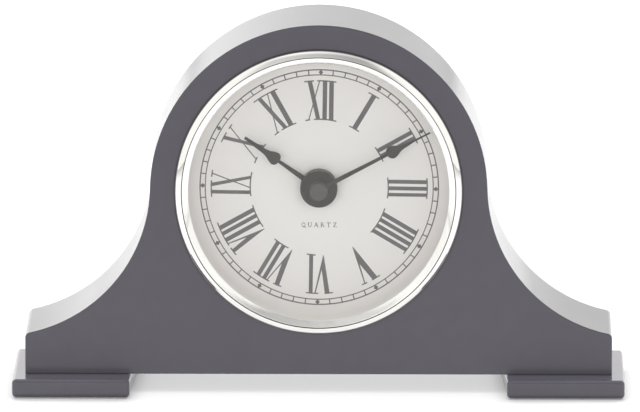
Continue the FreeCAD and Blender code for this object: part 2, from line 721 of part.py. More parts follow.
# ---- movement: turning pieces ------------------------------------------------------------------
END_PLAY = 0.1                # between a shoulder and the wall that it turns against
FRONT_PIVOT = 0.9             # length of a pivot beyond its shoulder
REAR_PIVOT = 1.0
MOTION_FRONT_PIVOT = 0.8
MOTION_REAR_PIVOT = 0.9
MOTION_GAP = 0.2              # motion wheel's arbor behind the front wall
BLADE_SEAT = 0.2              # minute hand's seat below the top of its long shaft
HUB_FRONT = 0.08              # centre wheel's hub beyond its rim
HUB_REAR = 0.2
WASHER_FRONT_GAP = 0.12
ARBOR_START = PLATE_LAYER[1] + END_PLAY
ARBOR_END = BOSS_LAYER[0] - END_PLAY


def arbor(axis, start, end):
    """Spindle with a thin pivot at each end."""
    shaft = rod(ARBOR_R, depth(start), depth(end), axis)
    pivots = rod(PIVOT_R, depth(start - FRONT_PIVOT), depth(end + REAR_PIVOT), axis)
    return [shaft, pivots]


THIRD_PINION_PHASE = meshing_phase(THIRD_DIRECTION, CENTRE_TEETH, 0.0, THIRD_PINION_TEETH)
SECONDS_PINION_PHASE = meshing_phase(THIRD_DIRECTION + 180.0, THIRD_TEETH, 0.0,
                                     SECONDS_PINION_TEETH)
INTERMEDIATE_PINION_PHASE = meshing_phase(INTERMEDIATE_DIRECTION, SECONDS_TEETH, 0.0,
                                          INTERMEDIATE_PINION_TEETH)
ROTOR_PINION_PHASE = meshing_phase(ROTOR_DIRECTION, INTERMEDIATE_TEETH, 0.0, ROTOR_PINION_TEETH)
MOTION_PHASE = meshing_phase(MOTION_DIRECTION, CANNON_TEETH, 0.0, MOTION_TEETH)
HOUR_PHASE = meshing_phase(MOTION_DIRECTION + 180.0, MOTION_PINION_TEETH, 0.0, HOUR_TEETH)
SET_PHASE = meshing_phase(SET_DIRECTION, MOTION_TEETH, MOTION_PHASE, SET_TEETH)


def build_minute_arbor():
    """Arbor of the minute hand: stem for the centre wheel, cannon pinion, long shaft and tenon."""
    cannon = gear(CANNON_TEETH, MOTION_MODULE, CANNON_LAYER, HANDS_AXIS)
    journal = rod(MINUTE_SHAFT_R, depth(CANNON_LAYER[1]), depth(ARBOR_START))
    stem = rod(STEM_R, depth(PLATE_LAYER[1]), depth(STEM_END))
    seat = lift(MINUTE_BLADE_LIFT - BLADE_SEAT)
    front = rod(MINUTE_SHAFT_R, seat, depth(CANNON_LAYER[0]))
    tenon = rod(MINUTE_TENON_R, lift(TENON_TOP), seat)
    whole = fuse_all([cannon, journal, stem, front, tenon])
    return whole.cut(rod(PIVOT_R + RUNNING, depth(SECONDS_PINION_LAYER[0] - FRONT_PIVOT - END_PLAY),
                         depth(STEM_END)))


def build_centre_wheel():
    """Centre wheel, which slips on the minute arbor's stem when the hands are set."""
    wheel = gear(CENTRE_TEETH, CENTRE_MODULE, CENTRE_LAYER, HANDS_AXIS)
    layer = (CENTRE_LAYER[0] - HUB_FRONT, CENTRE_LAYER[1] + HUB_REAR)
    hub = layer_rod(CENTRE_HUB_R, layer, HANDS_AXIS)
    return fuse_all([wheel, hub]).cut(rod(STEM_R + RUNNING, depth(PLATE_LAYER[1]), depth(STEM_END)))


def build_clutch_washer():
    """Thin washer that gives the centre wheel its grip on the minute arbor."""
    return tube(CENTRE_HUB_R, STEM_R, depth(PLATE_LAYER[1] + WASHER_FRONT_GAP),
                depth(CENTRE_LAYER[0] - END_PLAY))


def build_third_wheel():
    parts = [
        gear(THIRD_TEETH, THIRD_MODULE, THIRD_LAYER, THIRD_AXIS),
        gear(THIRD_PINION_TEETH, CENTRE_MODULE, THIRD_PINION_LAYER, THIRD_AXIS,
             THIRD_PINION_PHASE),
    ]
    return fuse_all(parts + arbor(THIRD_AXIS, ARBOR_START, ARBOR_END))


def build_seconds_wheel():
    parts = [
        gear(SECONDS_TEETH, THIRD_MODULE, SECONDS_LAYER, HANDS_AXIS),
        gear(SECONDS_PINION_TEETH, THIRD_MODULE, SECONDS_PINION_LAYER, HANDS_AXIS,
             SECONDS_PINION_PHASE),
        rod(ARBOR_R, depth(SECONDS_PINION_LAYER[0]), depth(ARBOR_END)),
        rod(PIVOT_R, depth(SECONDS_PINION_LAYER[0] - FRONT_PIVOT), depth(PIVOT_END)),
    ]
    return fuse_all(parts)


def build_intermediate_wheel():
    parts = [
        gear(INTERMEDIATE_TEETH, ROTOR_MODULE, INTERMEDIATE_LAYER, INTERMEDIATE_AXIS),
        gear(INTERMEDIATE_PINION_TEETH, THIRD_MODULE, INTERMEDIATE_PINION_LAYER,
             INTERMEDIATE_AXIS, INTERMEDIATE_PINION_PHASE),
    ]
    return fuse_all(parts + arbor(INTERMEDIATE_AXIS, ARBOR_START, ARBOR_END))


def build_rotor_pinion():
    pinion = gear(ROTOR_PINION_TEETH, ROTOR_MODULE, ROTOR_PINION_LAYER, ROTOR_AXIS,
                  ROTOR_PINION_PHASE)
    return fuse_all([pinion] + arbor(ROTOR_AXIS, ARBOR_START, ARBOR_END))


MAGNET_R = 3.0


def build_rotor_magnet():
    return layer_rod(MAGNET_R, ROTOR_LAYER, ROTOR_AXIS).cut(layer_rod(ARBOR_R, ROTOR_LAYER, ROTOR_AXIS))


def build_motion_wheel():
    """Reduction wheel and pinion between the cannon pinion and the hour wheel."""
    start, end = FRONT_WALL + MOTION_GAP, PLATE_LAYER[0] - END_PLAY
    parts = [
        gear(MOTION_TEETH, MOTION_MODULE, MOTION_LAYER, MOTION_AXIS, MOTION_PHASE),
        gear(MOTION_PINION_TEETH, HOUR_MODULE, MINUTE_PINION_LAYER, MOTION_AXIS),
        rod(ARBOR_R, depth(start), depth(end), MOTION_AXIS),
        rod(PIVOT_R, depth(start - MOTION_FRONT_PIVOT), depth(end + MOTION_REAR_PIVOT), MOTION_AXIS),
    ]
    return fuse_all(parts)


def build_hour_wheel():
    wheel = gear(HOUR_TEETH, HOUR_MODULE, HOUR_LAYER, HANDS_AXIS, HOUR_PHASE)
    pipe = rod(HOUR_PIPE_R, lift(BOSS_FACE), depth(HOUR_LAYER[1]))
    bore = rod(MINUTE_SHAFT_R + RUNNING, lift(BOSS_FACE), depth(HOUR_LAYER[1]))
    return fuse_all([wheel, pipe]).cut(bore)


KNOB_GAP = 0.5
KNOB_R = 6.5
KNOB_THICK = 4.0
KNOB_ROUND = 0.6
KNOB_SOCKET = 2.6             # depth of the shaft in the knob
KNOB_FLUTES = 24
KNOB_FLUTE_R = 0.5
KNOB_FLUTE_OUT = 0.15         # flute centres outside the knob's rim
SET_SHAFT_START = 0.9


def build_set_shaft():
    """Setting arbor: its pinion meets the motion wheel and its tail leaves the rear housing."""
    pinion = gear(SET_TEETH, MOTION_MODULE, MOTION_LAYER, SET_AXIS, SET_PHASE)
    end = BODY_DEPTH + KNOB_GAP + KNOB_SOCKET
    shaft = rod(SET_SHAFT_R, depth(SET_SHAFT_START), depth(end), SET_AXIS)
    return fuse_all([pinion, shaft])


def build_set_knob():
    """Fluted thumb wheel pressed on the setting arbor, behind the rear housing."""
    start = BODY_DEPTH + KNOB_GAP
    knob = layer_rod(KNOB_R, (start, start + KNOB_THICK), SET_AXIS)
    knob = knob.makeFillet(KNOB_ROUND, end_edges(knob, depth(start + KNOB_THICK)))
    cuts = [layer_rod(SET_SHAFT_R, (start, start + KNOB_SOCKET), SET_AXIS)]
    for number in range(KNOB_FLUTES):
        place = step_along(SET_AXIS, number * FULL_TURN / KNOB_FLUTES, KNOB_R + KNOB_FLUTE_OUT)
        cuts.append(layer_rod(KNOB_FLUTE_R, (start, start + KNOB_THICK), place))
    return knob.cut(cuts)


def build_cell():
    """AA cell along X, its terminal towards +X."""
    half = CELL_LENGTH / 2
    start = Vector(-half, depth(CELL_DEPTH), ARCH_Z + BAY_CENTRE_Z)
    along = Vector(1, 0, 0)
    can = Part.makeCylinder(CELL_R, CELL_LENGTH - CELL_NUB, start, along)
    can = can.makeFillet(CELL_ROUND, [edge for edge in can.Edges if edge.BoundBox.XLength < SAME_PLACE])
    nub = Part.makeCylinder(CELL_NUB_R, CELL_LENGTH, start, along)
    return fuse_all([can, nub])


# ---- hands -------------------------------------------------------------------------------------
def blade(angle, height, form):
    """Hand blade: tapering stem, leaf with a round heel, and a needle, at a height above the dial.

    form gives (radius, half width) at the stem's root, neck, heel, belly, leaf, flank, shoulder,
    waist, spike and tip.
    """
    along = facing(1.0, angle)
    across = facing(1.0, angle + 90.0)

    def outline(side):
        root, neck, heel, belly, leaf, flank, hollow, waist, spike, tip = [
            along * radius + across * (side * width) for radius, width in form]
        return [
            Part.makeLine(root, neck), arc(neck, heel, belly), arc(belly, leaf, flank),
            arc(flank, hollow, waist), Part.makeLine(waist, spike), Part.makeLine(spike, tip),
        ]

    root_r, root_w = form[0]
    tip_r, tip_w = form[-1]
    ends = []
    for radius, width in ((root_r, root_w), (tip_r, tip_w)):
        ends.append(Part.makeLine(along * radius - across * width, along * radius + across * width))
    edges = outline(-1) + outline(1) + ends
    face = Part.Face(Part.Wire(Part.__sortEdges__(edges)))
    face.translate(Vector(0, lift(height), ARCH_Z))
    return face.extrude(Vector(0, -HAND_THICK, 0))


HOUR_FORM = ((5.0, 1.10), (18.75, 0.60), (19.20, 1.85), (20.60, 2.52), (22.20, 2.08),
             (23.40, 1.52), (24.90, 1.12), (26.60, 0.95), (31.0, 0.72), (34.8, 0.52))
MINUTE_FORM = ((0.9, 0.98), (29.60, 0.60), (30.30, 1.85), (31.90, 2.50), (33.40, 2.02),
               (34.50, 1.42), (35.80, 1.00), (37.40, 0.80), (41.0, 0.38), (48.3, 0.30))


def build_hour_hand():
    """Hour hand with the cup-shaped boss that hides the fixing nut."""
    cup = rod(BOSS_R, lift(BOSS_BOTTOM), lift(BOSS_RIM))
    cup = cup.cut([
        rod(BOSS_BORE_R, lift(BOSS_BOTTOM), lift(BOSS_ROOF)),
        rod(BOSS_BORE_R, lift(BOSS_FACE), lift(BOSS_RIM)),
    ])
    whole = fuse_all([cup, blade(HOUR_ANGLE, HOUR_BLADE_LIFT, HOUR_FORM)])
    return whole.cut(rod(HOUR_PIPE_R, lift(BOSS_ROOF), lift(BOSS_FACE)))


def build_minute_hand():
    hub = rod(HUB_R, lift(MINUTE_BLADE_LIFT), lift(MINUTE_BLADE_LIFT + HAND_THICK))
    whole = fuse_all([hub, blade(MINUTE_ANGLE, MINUTE_BLADE_LIFT, MINUTE_FORM)])
    return whole.cut(rod(MINUTE_TENON_R, lift(MINUTE_BLADE_LIFT),
                         lift(MINUTE_BLADE_LIFT + HAND_THICK)))


def build_hand_cap():
    """Round cap screwed on the minute arbor over the hands."""
    start = MINUTE_BLADE_LIFT + HAND_THICK
    cap = rod(CAP_R, lift(start), lift(CAP_FRONT))
    cap = cap.makeFillet(CAP_ROUND, end_edges(cap, lift(CAP_FRONT)))
    return cap.cut(rod(MINUTE_TENON_R, lift(start), lift(TENON_TOP)))


# ---- every node --------------------------------------------------------------------------------
NODES = {
    "case_body": build_case(),
    "left_foot": build_foot(-1),
    "right_foot": build_foot(1),
    "foot_screws": build_foot_screws(),
    "foot_pads": build_pads(),
    "bezel_ring": build_bezel(),
    "lens": build_lens(),
    "lens_seal": build_lens_seal(),
    "reflector_ring": build_reflector(),
    "dial_plate": build_dial(),
    "dial_pan": build_pan(),
    "pan_screws": build_pan_screws(),
    "movement_front_housing": build_front_housing(),
    "movement_rear_housing": build_rear_housing(),
    "movement_plate": build_plate(),
    "threaded_bush": build_bush(),
    "sealing_ring": build_sealing_ring(),
    "fixing_washer": build_washer(),
    "fixing_nut": build_nut(),
    "circuit_board": build_board(),
    "control_chip": build_chip(),
    "quartz_crystal": build_crystal(),
    "coil_bobbin": build_bobbin(),
    "coil_winding": build_winding(),
    "stator": build_stator(),
    "positive_contact": build_contact(1, POSITIVE_BUTTON_R),
    "negative_contact": build_contact(-1, NEGATIVE_BUTTON_R),
    "rotor_magnet": build_rotor_magnet(),
    "rotor_pinion": build_rotor_pinion(),
    "intermediate_wheel": build_intermediate_wheel(),
    "seconds_wheel": build_seconds_wheel(),
    "third_wheel": build_third_wheel(),
    "centre_wheel": build_centre_wheel(),
    "clutch_washer": build_clutch_washer(),
    "minute_arbor": build_minute_arbor(),
    "motion_wheel": build_motion_wheel(),
    "hour_wheel": build_hour_wheel(),
    "set_shaft": build_set_shaft(),
    "set_knob": build_set_knob(),
    "battery": build_cell(),
    "hour_hand": build_hour_hand(),
    "minute_hand": build_minute_hand(),
    "hand_cap": build_hand_cap(),
}

os.makedirs("parts", exist_ok=True)
for name, shape in NODES.items():
    shape.exportStep(f"parts/{name}.step")
    print(f"{name:24s} solids {len(shape.Solids)} valid {shape.isValid()} "
          f"volume {shape.Volume:10.2f}")
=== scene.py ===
import json
import math

import bmesh
import bpy
from mathutils import Matrix, Vector


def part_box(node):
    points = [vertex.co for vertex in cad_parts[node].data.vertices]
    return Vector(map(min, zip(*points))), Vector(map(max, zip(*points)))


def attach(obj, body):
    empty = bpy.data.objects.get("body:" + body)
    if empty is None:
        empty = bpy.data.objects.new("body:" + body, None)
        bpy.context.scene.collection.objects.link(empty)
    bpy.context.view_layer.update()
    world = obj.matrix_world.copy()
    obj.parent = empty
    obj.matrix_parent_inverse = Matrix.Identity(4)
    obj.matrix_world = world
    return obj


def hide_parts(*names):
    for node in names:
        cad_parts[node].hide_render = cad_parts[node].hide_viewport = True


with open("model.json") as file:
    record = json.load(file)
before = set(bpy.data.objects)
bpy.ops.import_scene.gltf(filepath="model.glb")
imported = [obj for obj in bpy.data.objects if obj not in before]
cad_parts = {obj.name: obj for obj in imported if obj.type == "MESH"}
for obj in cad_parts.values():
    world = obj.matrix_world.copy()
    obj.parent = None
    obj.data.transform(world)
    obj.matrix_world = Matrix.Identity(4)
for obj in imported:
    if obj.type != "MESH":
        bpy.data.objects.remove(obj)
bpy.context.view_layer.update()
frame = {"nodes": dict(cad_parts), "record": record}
NODES = frame["nodes"]
MM = 0.001
FULL_TURN = 2 * math.pi

# ---- places, all read from the frame -----------------------------------------------------------
DIAL_LOW, DIAL_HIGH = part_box("dial_plate")
CASE_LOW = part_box("case_body")[0]
BEZEL_LOW, BEZEL_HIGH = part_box("bezel_ring")
CENTRE_X = (DIAL_LOW.x + DIAL_HIGH.x) / 2
CENTRE_Z = (DIAL_LOW.z + DIAL_HIGH.z) / 2
DIAL_Y = DIAL_LOW.y
CASE_FRONT_Y = CASE_LOW.y
BEZEL_R = (BEZEL_HIGH.x - BEZEL_LOW.x) / 2
RING_STEPS = 360                      # divisions of every turned ring
ROUND_STEPS = 3                       # divisions of a rounded corner
ROUND_SHARE = 0.45                    # of a side, the most that one rounded corner may take


# ---- mesh helpers ------------------------------------------------------------------------------
def finish_mesh(bm, name, body, material, sharp=32.0):
    """Turn a bmesh into a smooth-shaded piece that rides on a CAD body."""
    bmesh.ops.recalc_face_normals(bm, faces=bm.faces)
    mesh = bpy.data.meshes.new(name)
    bm.to_mesh(mesh)
    bm.free()
    mesh.shade_smooth()
    mesh.set_sharp_from_angle(angle=math.radians(sharp))
    piece = bpy.data.objects.new(name, mesh)
    bpy.context.scene.collection.objects.link(piece)
    mesh.materials.append(material)
    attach(piece, body)
    return piece


def around(radius, turn, y):
    """Point at a radius and a clockwise angle (radians) from twelve, about the dial's axis."""
    return Vector((CENTRE_X + radius * math.sin(turn), y, CENTRE_Z + radius * math.cos(turn)))


def lathe(profile):
    """Closed ring from a closed (radius, y) profile in metres."""
    bm = bmesh.new()
    rings = []
    for step in range(RING_STEPS):
        turn = FULL_TURN * step / RING_STEPS
        rings.append([bm.verts.new(around(radius, turn, y)) for radius, y in profile])
    for ring, following in zip(rings, rings[1:] + rings[:1]):
        for index in range(len(profile)):
            after = (index + 1) % len(profile)
            bm.faces.new((ring[index], ring[after], following[after], following[index]))
    return bm


def quadratic(start, knee, end, t):
    """Point at t along the curve from start to end that bends towards the knee."""
    return (1 - t) ** 2 * start + 2 * t * (1 - t) * knee + t ** 2 * end


def rounded(corners, radius):
    """Profile with every corner rounded by a small radius, for (radius, y) corners in metres."""
    points = []
    count = len(corners)
    for index, corner in enumerate(corners):
        here = Vector(corner)
        back = Vector(corners[index - 1]) - here
        ahead = Vector(corners[(index + 1) % count]) - here
        reach = min(radius, back.length * ROUND_SHARE, ahead.length * ROUND_SHARE)
        start, end = here + back.normalized() * reach, here + ahead.normalized() * reach
        for step in range(ROUND_STEPS + 1):
            points.append(tuple(quadratic(start, here, end, step / ROUND_STEPS)))
    return points


# ---- material helpers --------------------------------------------------------------------------
def srgb(red, green, blue):
    """Linear colour from display values of 0 to 255."""
    def linear(value):
        value /= 255
        return value / 12.92 if value <= 0.04045 else ((value + 0.055) / 1.055) ** 2.4
    return linear(red), linear(green), linear(blue), 1.0


class Wiring:
    """A node tree, with short ways to add nodes to it and join them."""

    def __init__(self, tree):
        self.tree = tree

    def node(self, kind, **settings):
        made = self.tree.nodes.new(kind)
        for name, value in settings.items():
            setattr(made, name, value)
        return made

    def feed(self, socket, value):
        """Set a socket from a plain value, or link it to another node's output."""
        if isinstance(value, (int, float, tuple)):
            socket.default_value = value
        else:
            self.tree.links.new(value, socket)

    def axes(self, coordinates):
        """X, Y and Z outputs of one kind of texture coordinates."""
        made = self.node("ShaderNodeSeparateXYZ")
        self.feed(made.inputs[0], self.node("ShaderNodeTexCoord").outputs[coordinates])
        return made.outputs

    def remap(self, value, low, high, start=0.3, end=0.7, **settings):
        """Carry the range from start to end onto low to high; the defaults suit a noise."""
        made = self.node("ShaderNodeMapRange", **settings)
        self.feed(made.inputs["Value"], value)
        made.inputs["From Min"].default_value = start
        made.inputs["From Max"].default_value = end
        made.inputs["To Min"].default_value = low
        made.inputs["To Max"].default_value = high
        return made.outputs["Result"]

    def maths(self, operation, one, two=0.0):
        made = self.node("ShaderNodeMath", operation=operation)
        self.feed(made.inputs[0], one)
        self.feed(made.inputs[1], two)
        return made.outputs[0]

    def mix(self, factor, one, two, **settings):
        made = self.node("ShaderNodeMix", data_type="RGBA", **settings)
        self.feed(made.inputs["Factor"], factor)
        self.feed(made.inputs[6], one)
        self.feed(made.inputs[7], two)
        return made.outputs[2]


class Finish(Wiring):
    """A Principled material built node by node, in metres of the object's own space."""

    def __init__(self, name, **sockets):
        self.material = bpy.data.materials.new(name)
        self.material.use_nodes = True
        super().__init__(self.material.node_tree)
        self.shader = next(n for n in self.tree.nodes if n.type == "BSDF_PRINCIPLED")
        self.output = next(n for n in self.tree.nodes if n.type == "OUTPUT_MATERIAL")
        for socket, value in sockets.items():
            self.shader.inputs[socket.replace("_", " ")].default_value = value

    def place(self, stretch=(1, 1, 1)):
        """Object coordinates, scaled apart on each axis."""
        source = self.node("ShaderNodeTexCoord").outputs["Object"]
        mapping = self.node("ShaderNodeMapping")
        mapping.inputs["Scale"].default_value = stretch
        self.feed(mapping.inputs["Vector"], source)
        return mapping.outputs["Vector"]

    def noise(self, size, detail=3.0, stretch=(1, 1, 1), roughness=0.5):
        """Noise whose features are about size metres across."""
        made = self.node("ShaderNodeTexNoise")
        self.feed(made.inputs["Vector"], self.place(stretch))
        made.inputs["Scale"].default_value = 1 / size
        made.inputs["Detail"].default_value = detail
        made.inputs["Roughness"].default_value = roughness
        return made.outputs["Fac"]

    def colour(self, factor, dark, light):
        self.feed(self.shader.inputs["Base Color"], self.mix(factor, dark, light))

    def roughness(self, value):
        self.feed(self.shader.inputs["Roughness"], value)

    def bump(self, height, distance):
        """Raise the surface by up to a distance in metres."""
        made = self.node("ShaderNodeBump")
        made.inputs["Distance"].default_value = distance
        self.feed(made.inputs["Height"], height)
        self.feed(self.shader.inputs["Normal"], made.outputs["Normal"])


def shade(colour, factor):
    return tuple(channel * factor for channel in colour[:3]) + (1.0,)


# ---- materials ---------------------------------------------------------------------------------
LACQUER = srgb(63, 61, 69)
DIAL = srgb(236, 234, 231)
# the dial's edge colour is darker than its middle: painted shade towards the bezel, with a warmer
# tint
DIAL_EDGE = srgb(229, 224, 221)
INK = srgb(92, 88, 88)
HAND = srgb(54, 48, 45)
CAP = srgb(78, 72, 71)


def make_lacquer():
    """Blue-grey spray lacquer: even colour, a clear top coat and a faint orange peel."""
    made = Finish("case_lacquer", IOR=1.5, Specular_IOR_Level=0.2, Coat_Weight=1.0,
                  Coat_Roughness=0.16, Coat_IOR=1.5)
    patches = made.maths("MULTIPLY", made.noise(0.045, detail=3.0), made.noise(0.006, detail=2.0))
    made.colour(made.remap(patches, 0.0, 1.0, start=0.15, end=0.4),
                shade(LACQUER, 0.965), shade(LACQUER, 1.035))
    made.roughness(made.remap(made.noise(0.02), 0.48, 0.56))
    made.bump(made.noise(0.0016, detail=1.5), 0.00001)
    return made.material


def make_chrome():
    made = Finish("chrome_plate", Metallic=1.0)
    film = made.noise(0.012, detail=3.0)
    made.colour(made.remap(film, 0.0, 1.0), (0.90, 0.885, 0.855, 1), (0.94, 0.925, 0.90, 1))
    made.roughness(made.remap(made.noise(0.004, detail=4.0), 0.035, 0.075))
    made.bump(made.noise(0.002, detail=2.0), 0.000001)
    return made.material


def make_reflector_finish():
    """Bright warm plating inside the glass."""
    made = Finish("reflector_satin", Metallic=1.0)
    film = made.noise(0.02, detail=2.0)
    made.colour(made.remap(film, 0.0, 1.0), (0.95, 0.94, 0.91, 1), (0.98, 0.97, 0.945, 1))
    made.roughness(made.remap(made.noise(0.012, detail=2.0), 0.05, 0.09))
    return made.material


def make_glass():
    """Clear glass that lets lamps through, with a trace of green in its thickness."""
    made = Finish("lens_glass", IOR=1.45, Transmission_Weight=1.0, Specular_IOR_Level=0.2)
    haze = made.remap(made.noise(0.03), 0.0, 1.0)
    made.colour(haze, (0.985, 0.99, 0.988, 1), (0.992, 0.995, 0.993, 1))
    made.roughness(made.remap(made.noise(0.01), 0.0, 0.008))
    clear = made.node("ShaderNodeBsdfTransparent")
    clear.inputs["Color"].default_value = (0.97, 0.975, 0.972, 1)
    blend = made.node("ShaderNodeMixShader")
    made.feed(blend.inputs[0], made.node("ShaderNodeLightPath").outputs["Is Shadow Ray"])
    made.feed(blend.inputs[1], made.shader.outputs["BSDF"])
    made.feed(blend.inputs[2], clear.outputs["BSDF"])
    made.feed(made.output.inputs["Surface"], blend.outputs["Shader"])
    return made.material


DIAL_SHADE_FADE = 14 * MM, 46 * MM          # from the middle's colour to the edge's darker colour, a painted shade


def make_dial():
    """Silvered dial under a matt lacquer: darker and warmer to its edge, a painted shade towards the
    bezel, with a barely visible fine grain.
    """
    made = Finish("dial_silver", Metallic=0.0, Coat_Weight=0.25, Coat_Roughness=0.3)
    cloud = made.remap(made.noise(0.03, detail=2.0), -0.08, 0.08)
    from_middle = made.node("ShaderNodeVectorMath", operation="DISTANCE")
    made.feed(from_middle.inputs[0], made.node("ShaderNodeTexCoord").outputs["Object"])
    from_middle.inputs[1].default_value = (CENTRE_X, DIAL_Y, CENTRE_Z)
    # painted shade: the colour darkens from the middle out to the dial's edge
    shade_outwards = made.remap(from_middle.outputs["Value"], 0.0, 1.0, *DIAL_SHADE_FADE)
    made.colour(made.maths("ADD", shade_outwards, cloud), DIAL, DIAL_EDGE)
    made.roughness(made.remap(made.noise(0.0006, detail=3.0), 0.42, 0.55))
    made.bump(made.noise(0.0003, detail=2.0), 0.000002)
    return made.material


def make_brushed(name, colour, stretch, rough=0.3):
    """Rolled or turned metal with fine lines along one way."""
    made = Finish(name, Metallic=1.0)
    lines = made.noise(0.0004, detail=3.0, stretch=stretch)
    made.colour(made.remap(lines, 0.0, 1.0), shade(colour, 0.88), shade(colour, 1.06))
    made.roughness(made.remap(lines, rough - 0.06, rough + 0.08))
    made.bump(lines, 0.000004)
    return made.material


def make_board():
    """Green solder resist with paler tracks under it."""
    made = Finish("board_laminate", Coat_Weight=0.4, Coat_Roughness=0.2)
    grid = made.node("ShaderNodeTexBrick")
    made.feed(grid.inputs["Vector"], made.place((220, 220, 220)))
    grid.inputs["Mortar Size"].default_value = 0.06
    made.colour(grid.outputs["Fac"], (0.02, 0.13, 0.05, 1), (0.05, 0.22, 0.09, 1))
    made.roughness(made.remap(made.noise(0.003), 0.35, 0.5))
    made.bump(grid.outputs["Fac"], 0.00003)
    return made.material


def make_wire():
    """Enamelled copper wire, wound in fine turns along X."""
    made = Finish("copper_wire", Metallic=0.85)
    turns = made.node("ShaderNodeTexWave", wave_type="BANDS", bands_direction="X")
    made.feed(turns.inputs["Vector"], made.place())
    turns.inputs["Scale"].default_value = 1400
    turns.inputs["Distortion"].default_value = 0.6
    made.colour(turns.outputs["Fac"], (0.30, 0.09, 0.03, 1), (0.72, 0.30, 0.12, 1))
    made.roughness(made.remap(made.noise(0.001), 0.25, 0.4))
    made.bump(turns.outputs["Fac"], 0.00004)
    return made.material


def make_felt():
    made = Finish("felt", Sheen_Weight=0.4, Sheen_Roughness=0.5)
    fibres = made.noise(0.0007, detail=5.0, stretch=(1, 3, 1), roughness=0.7)
    made.colour(made.remap(fibres, 0.0, 1.0), (0.008, 0.008, 0.009, 1), (0.03, 0.03, 0.033, 1))
    made.roughness(made.remap(fibres, 0.85, 1.0))
    made.bump(fibres, 0.00008)
    return made.material


PLASTIC_SHADES = 0.95, 1.05
PLASTIC_PATCH = 8 * MM
PLASTIC_GLOSS_SPREAD = 0.06
PLASTIC_GRAIN = 0.5 * MM


def plastic(name, colour, rough=0.5, grain_depth=0.000012, **sockets):
    """Plain finish with slight patches of shade, uneven gloss and a fine surface grain."""
    made = Finish(name, **sockets)
    dark, light = (shade(colour, factor) for factor in PLASTIC_SHADES)
    made.colour(made.remap(made.noise(PLASTIC_PATCH, detail=4.0), 0.0, 1.0), dark, light)
    gloss = made.noise(PLASTIC_PATCH * 0.4)
    made.roughness(made.remap(gloss, rough - PLASTIC_GLOSS_SPREAD, rough + PLASTIC_GLOSS_SPREAD))
    if grain_depth:
        made.bump(made.noise(PLASTIC_GRAIN, detail=2.0), grain_depth)
    return made.material


MATERIALS = {
    "case_lacquer": make_lacquer(),
    "chrome_plate": make_chrome(),
    "lens_glass": make_glass(),
    "dial_silver": make_dial(),
    "board_laminate": make_board(),
    "copper_wire": make_wire(),
    "felt": make_felt(),
    "zinc_steel": make_brushed("zinc_steel", (0.62, 0.62, 0.58, 1), (1, 1, 1)),
    "brass": make_brushed("brass", (0.72, 0.52, 0.20, 1), (1, 8, 1)),
    "stator_steel": make_brushed("stator_steel", (0.45, 0.45, 0.46, 1), (0.1, 1, 1), 0.4),
    "contact_plate": make_brushed("contact_plate", (0.72, 0.71, 0.68, 1), (1, 0.1, 1), 0.25),
    "seal_rubber": plastic("seal_rubber", (0.02, 0.02, 0.02, 1), 0.7),
    "black_plastic": plastic("black_plastic", (0.022, 0.022, 0.024, 1), 0.5),
    "housing_plastic": plastic("housing_plastic", (0.026, 0.026, 0.028, 1), 0.42, 0.00003),
    "natural_plastic": plastic("natural_plastic", (0.72, 0.70, 0.62, 1), 0.35, Subsurface_Weight=0.1),
    "magnet": plastic("magnet", (0.03, 0.03, 0.033, 1), 0.55, 0.00002),
    "knob_plastic": plastic("knob_plastic", (0.62, 0.62, 0.60, 1), 0.38),
    "cell_jacket": plastic("cell_jacket", (0.03, 0.034, 0.045, 1), 0.25, 0.0, Coat_Weight=0.6),
    "hand_grey": plastic("hand_grey", HAND, 0.48, 0.000004, Specular_IOR_Level=0.3),
    "cap_grey": plastic("cap_grey", CAP, 0.45, 0.000004, Specular_IOR_Level=0.35),
}
INK_FINISH = plastic("dial_ink", INK, 0.45, 0.000003)

SLOTS = {part["node"]: part["material_slot"] for part in frame["record"]["subparts"]}
BODIES = {node: body for body, nodes in frame["record"]["behaviour"]["bodies"].items()
          for node in nodes}
for node_name, node in NODES.items():
    node.data.materials.clear()
    node.data.materials.append(MATERIALS[SLOTS[node_name]])


# ---- dial printing -----------------------------------------------------------------------------
PRINT_TURN = math.radians(0.81)       # the print sits a trace clockwise of upright
PRINT_X, PRINT_Z = CENTRE_X + 0.11 * MM, CENTRE_Z - 0.27 * MM     # the print's own centre
INK_THICK = 0.04 * MM
INK_SINK = 0.01 * MM
SERIF_OUTER_R, SERIF_INNER_R = 41.6, 26.6
SERIF_THICK = 0.5
SERIF_STEPS = 6
HAIR = 0.45
OVER, UNDER = INK_THICK * 1.15, INK_THICK * 0.85      # so that prints which cross share no face


def printed(bm, points, thick=INK_THICK):
    """Thin raised shape on the dial, from a closed outline of (x, z) about the print's centre."""
    level = DIAL_Y - thick
    front = [bm.verts.new((PRINT_X + x, level, PRINT_Z + z)) for x, z in points]
    back = [bm.verts.new((v.co.x, DIAL_Y + INK_SINK, v.co.z)) for v in front]
    bm.faces.new(front)
    bm.faces.new(back[::-1])
    for index in range(len(points)):
        after = (index + 1) % len(points)
        bm.faces.new((front[index], back[index], back[after], front[after]))


def dial_point(turn, radius, aside=0.0):
    """(x, z) at a radius along a direction, and a distance clockwise across it; lengths in mm."""
    sine, cosine = math.sin(turn), math.cos(turn)
    return ((radius * sine + aside * cosine) * MM, (radius * cosine - aside * sine) * MM)


def on_circle(turn, radius, aside):
    """As dial_point, but pulled in so that the point lies on the circle of that radius."""
    return dial_point(turn, math.sqrt(radius ** 2 - aside ** 2), aside)


def printed_ring(bm, outer, inner):
    level, sunk = DIAL_Y - INK_THICK, DIAL_Y + INK_SINK
    loops = []
    for radius, y in ((outer, level), (inner, level), (inner, sunk), (outer, sunk)):
        loop = []
        for step in range(RING_STEPS):
            x, z = dial_point(FULL_TURN * step / RING_STEPS, radius)
            loop.append(bm.verts.new((PRINT_X + x, y, PRINT_Z + z)))
        loops.append(loop)
    for one, two in zip(loops, loops[1:] + loops[:1]):
        for step in range(RING_STEPS):
            after = (step + 1) % RING_STEPS
            bm.faces.new((one[step], one[after], two[after], two[step]))


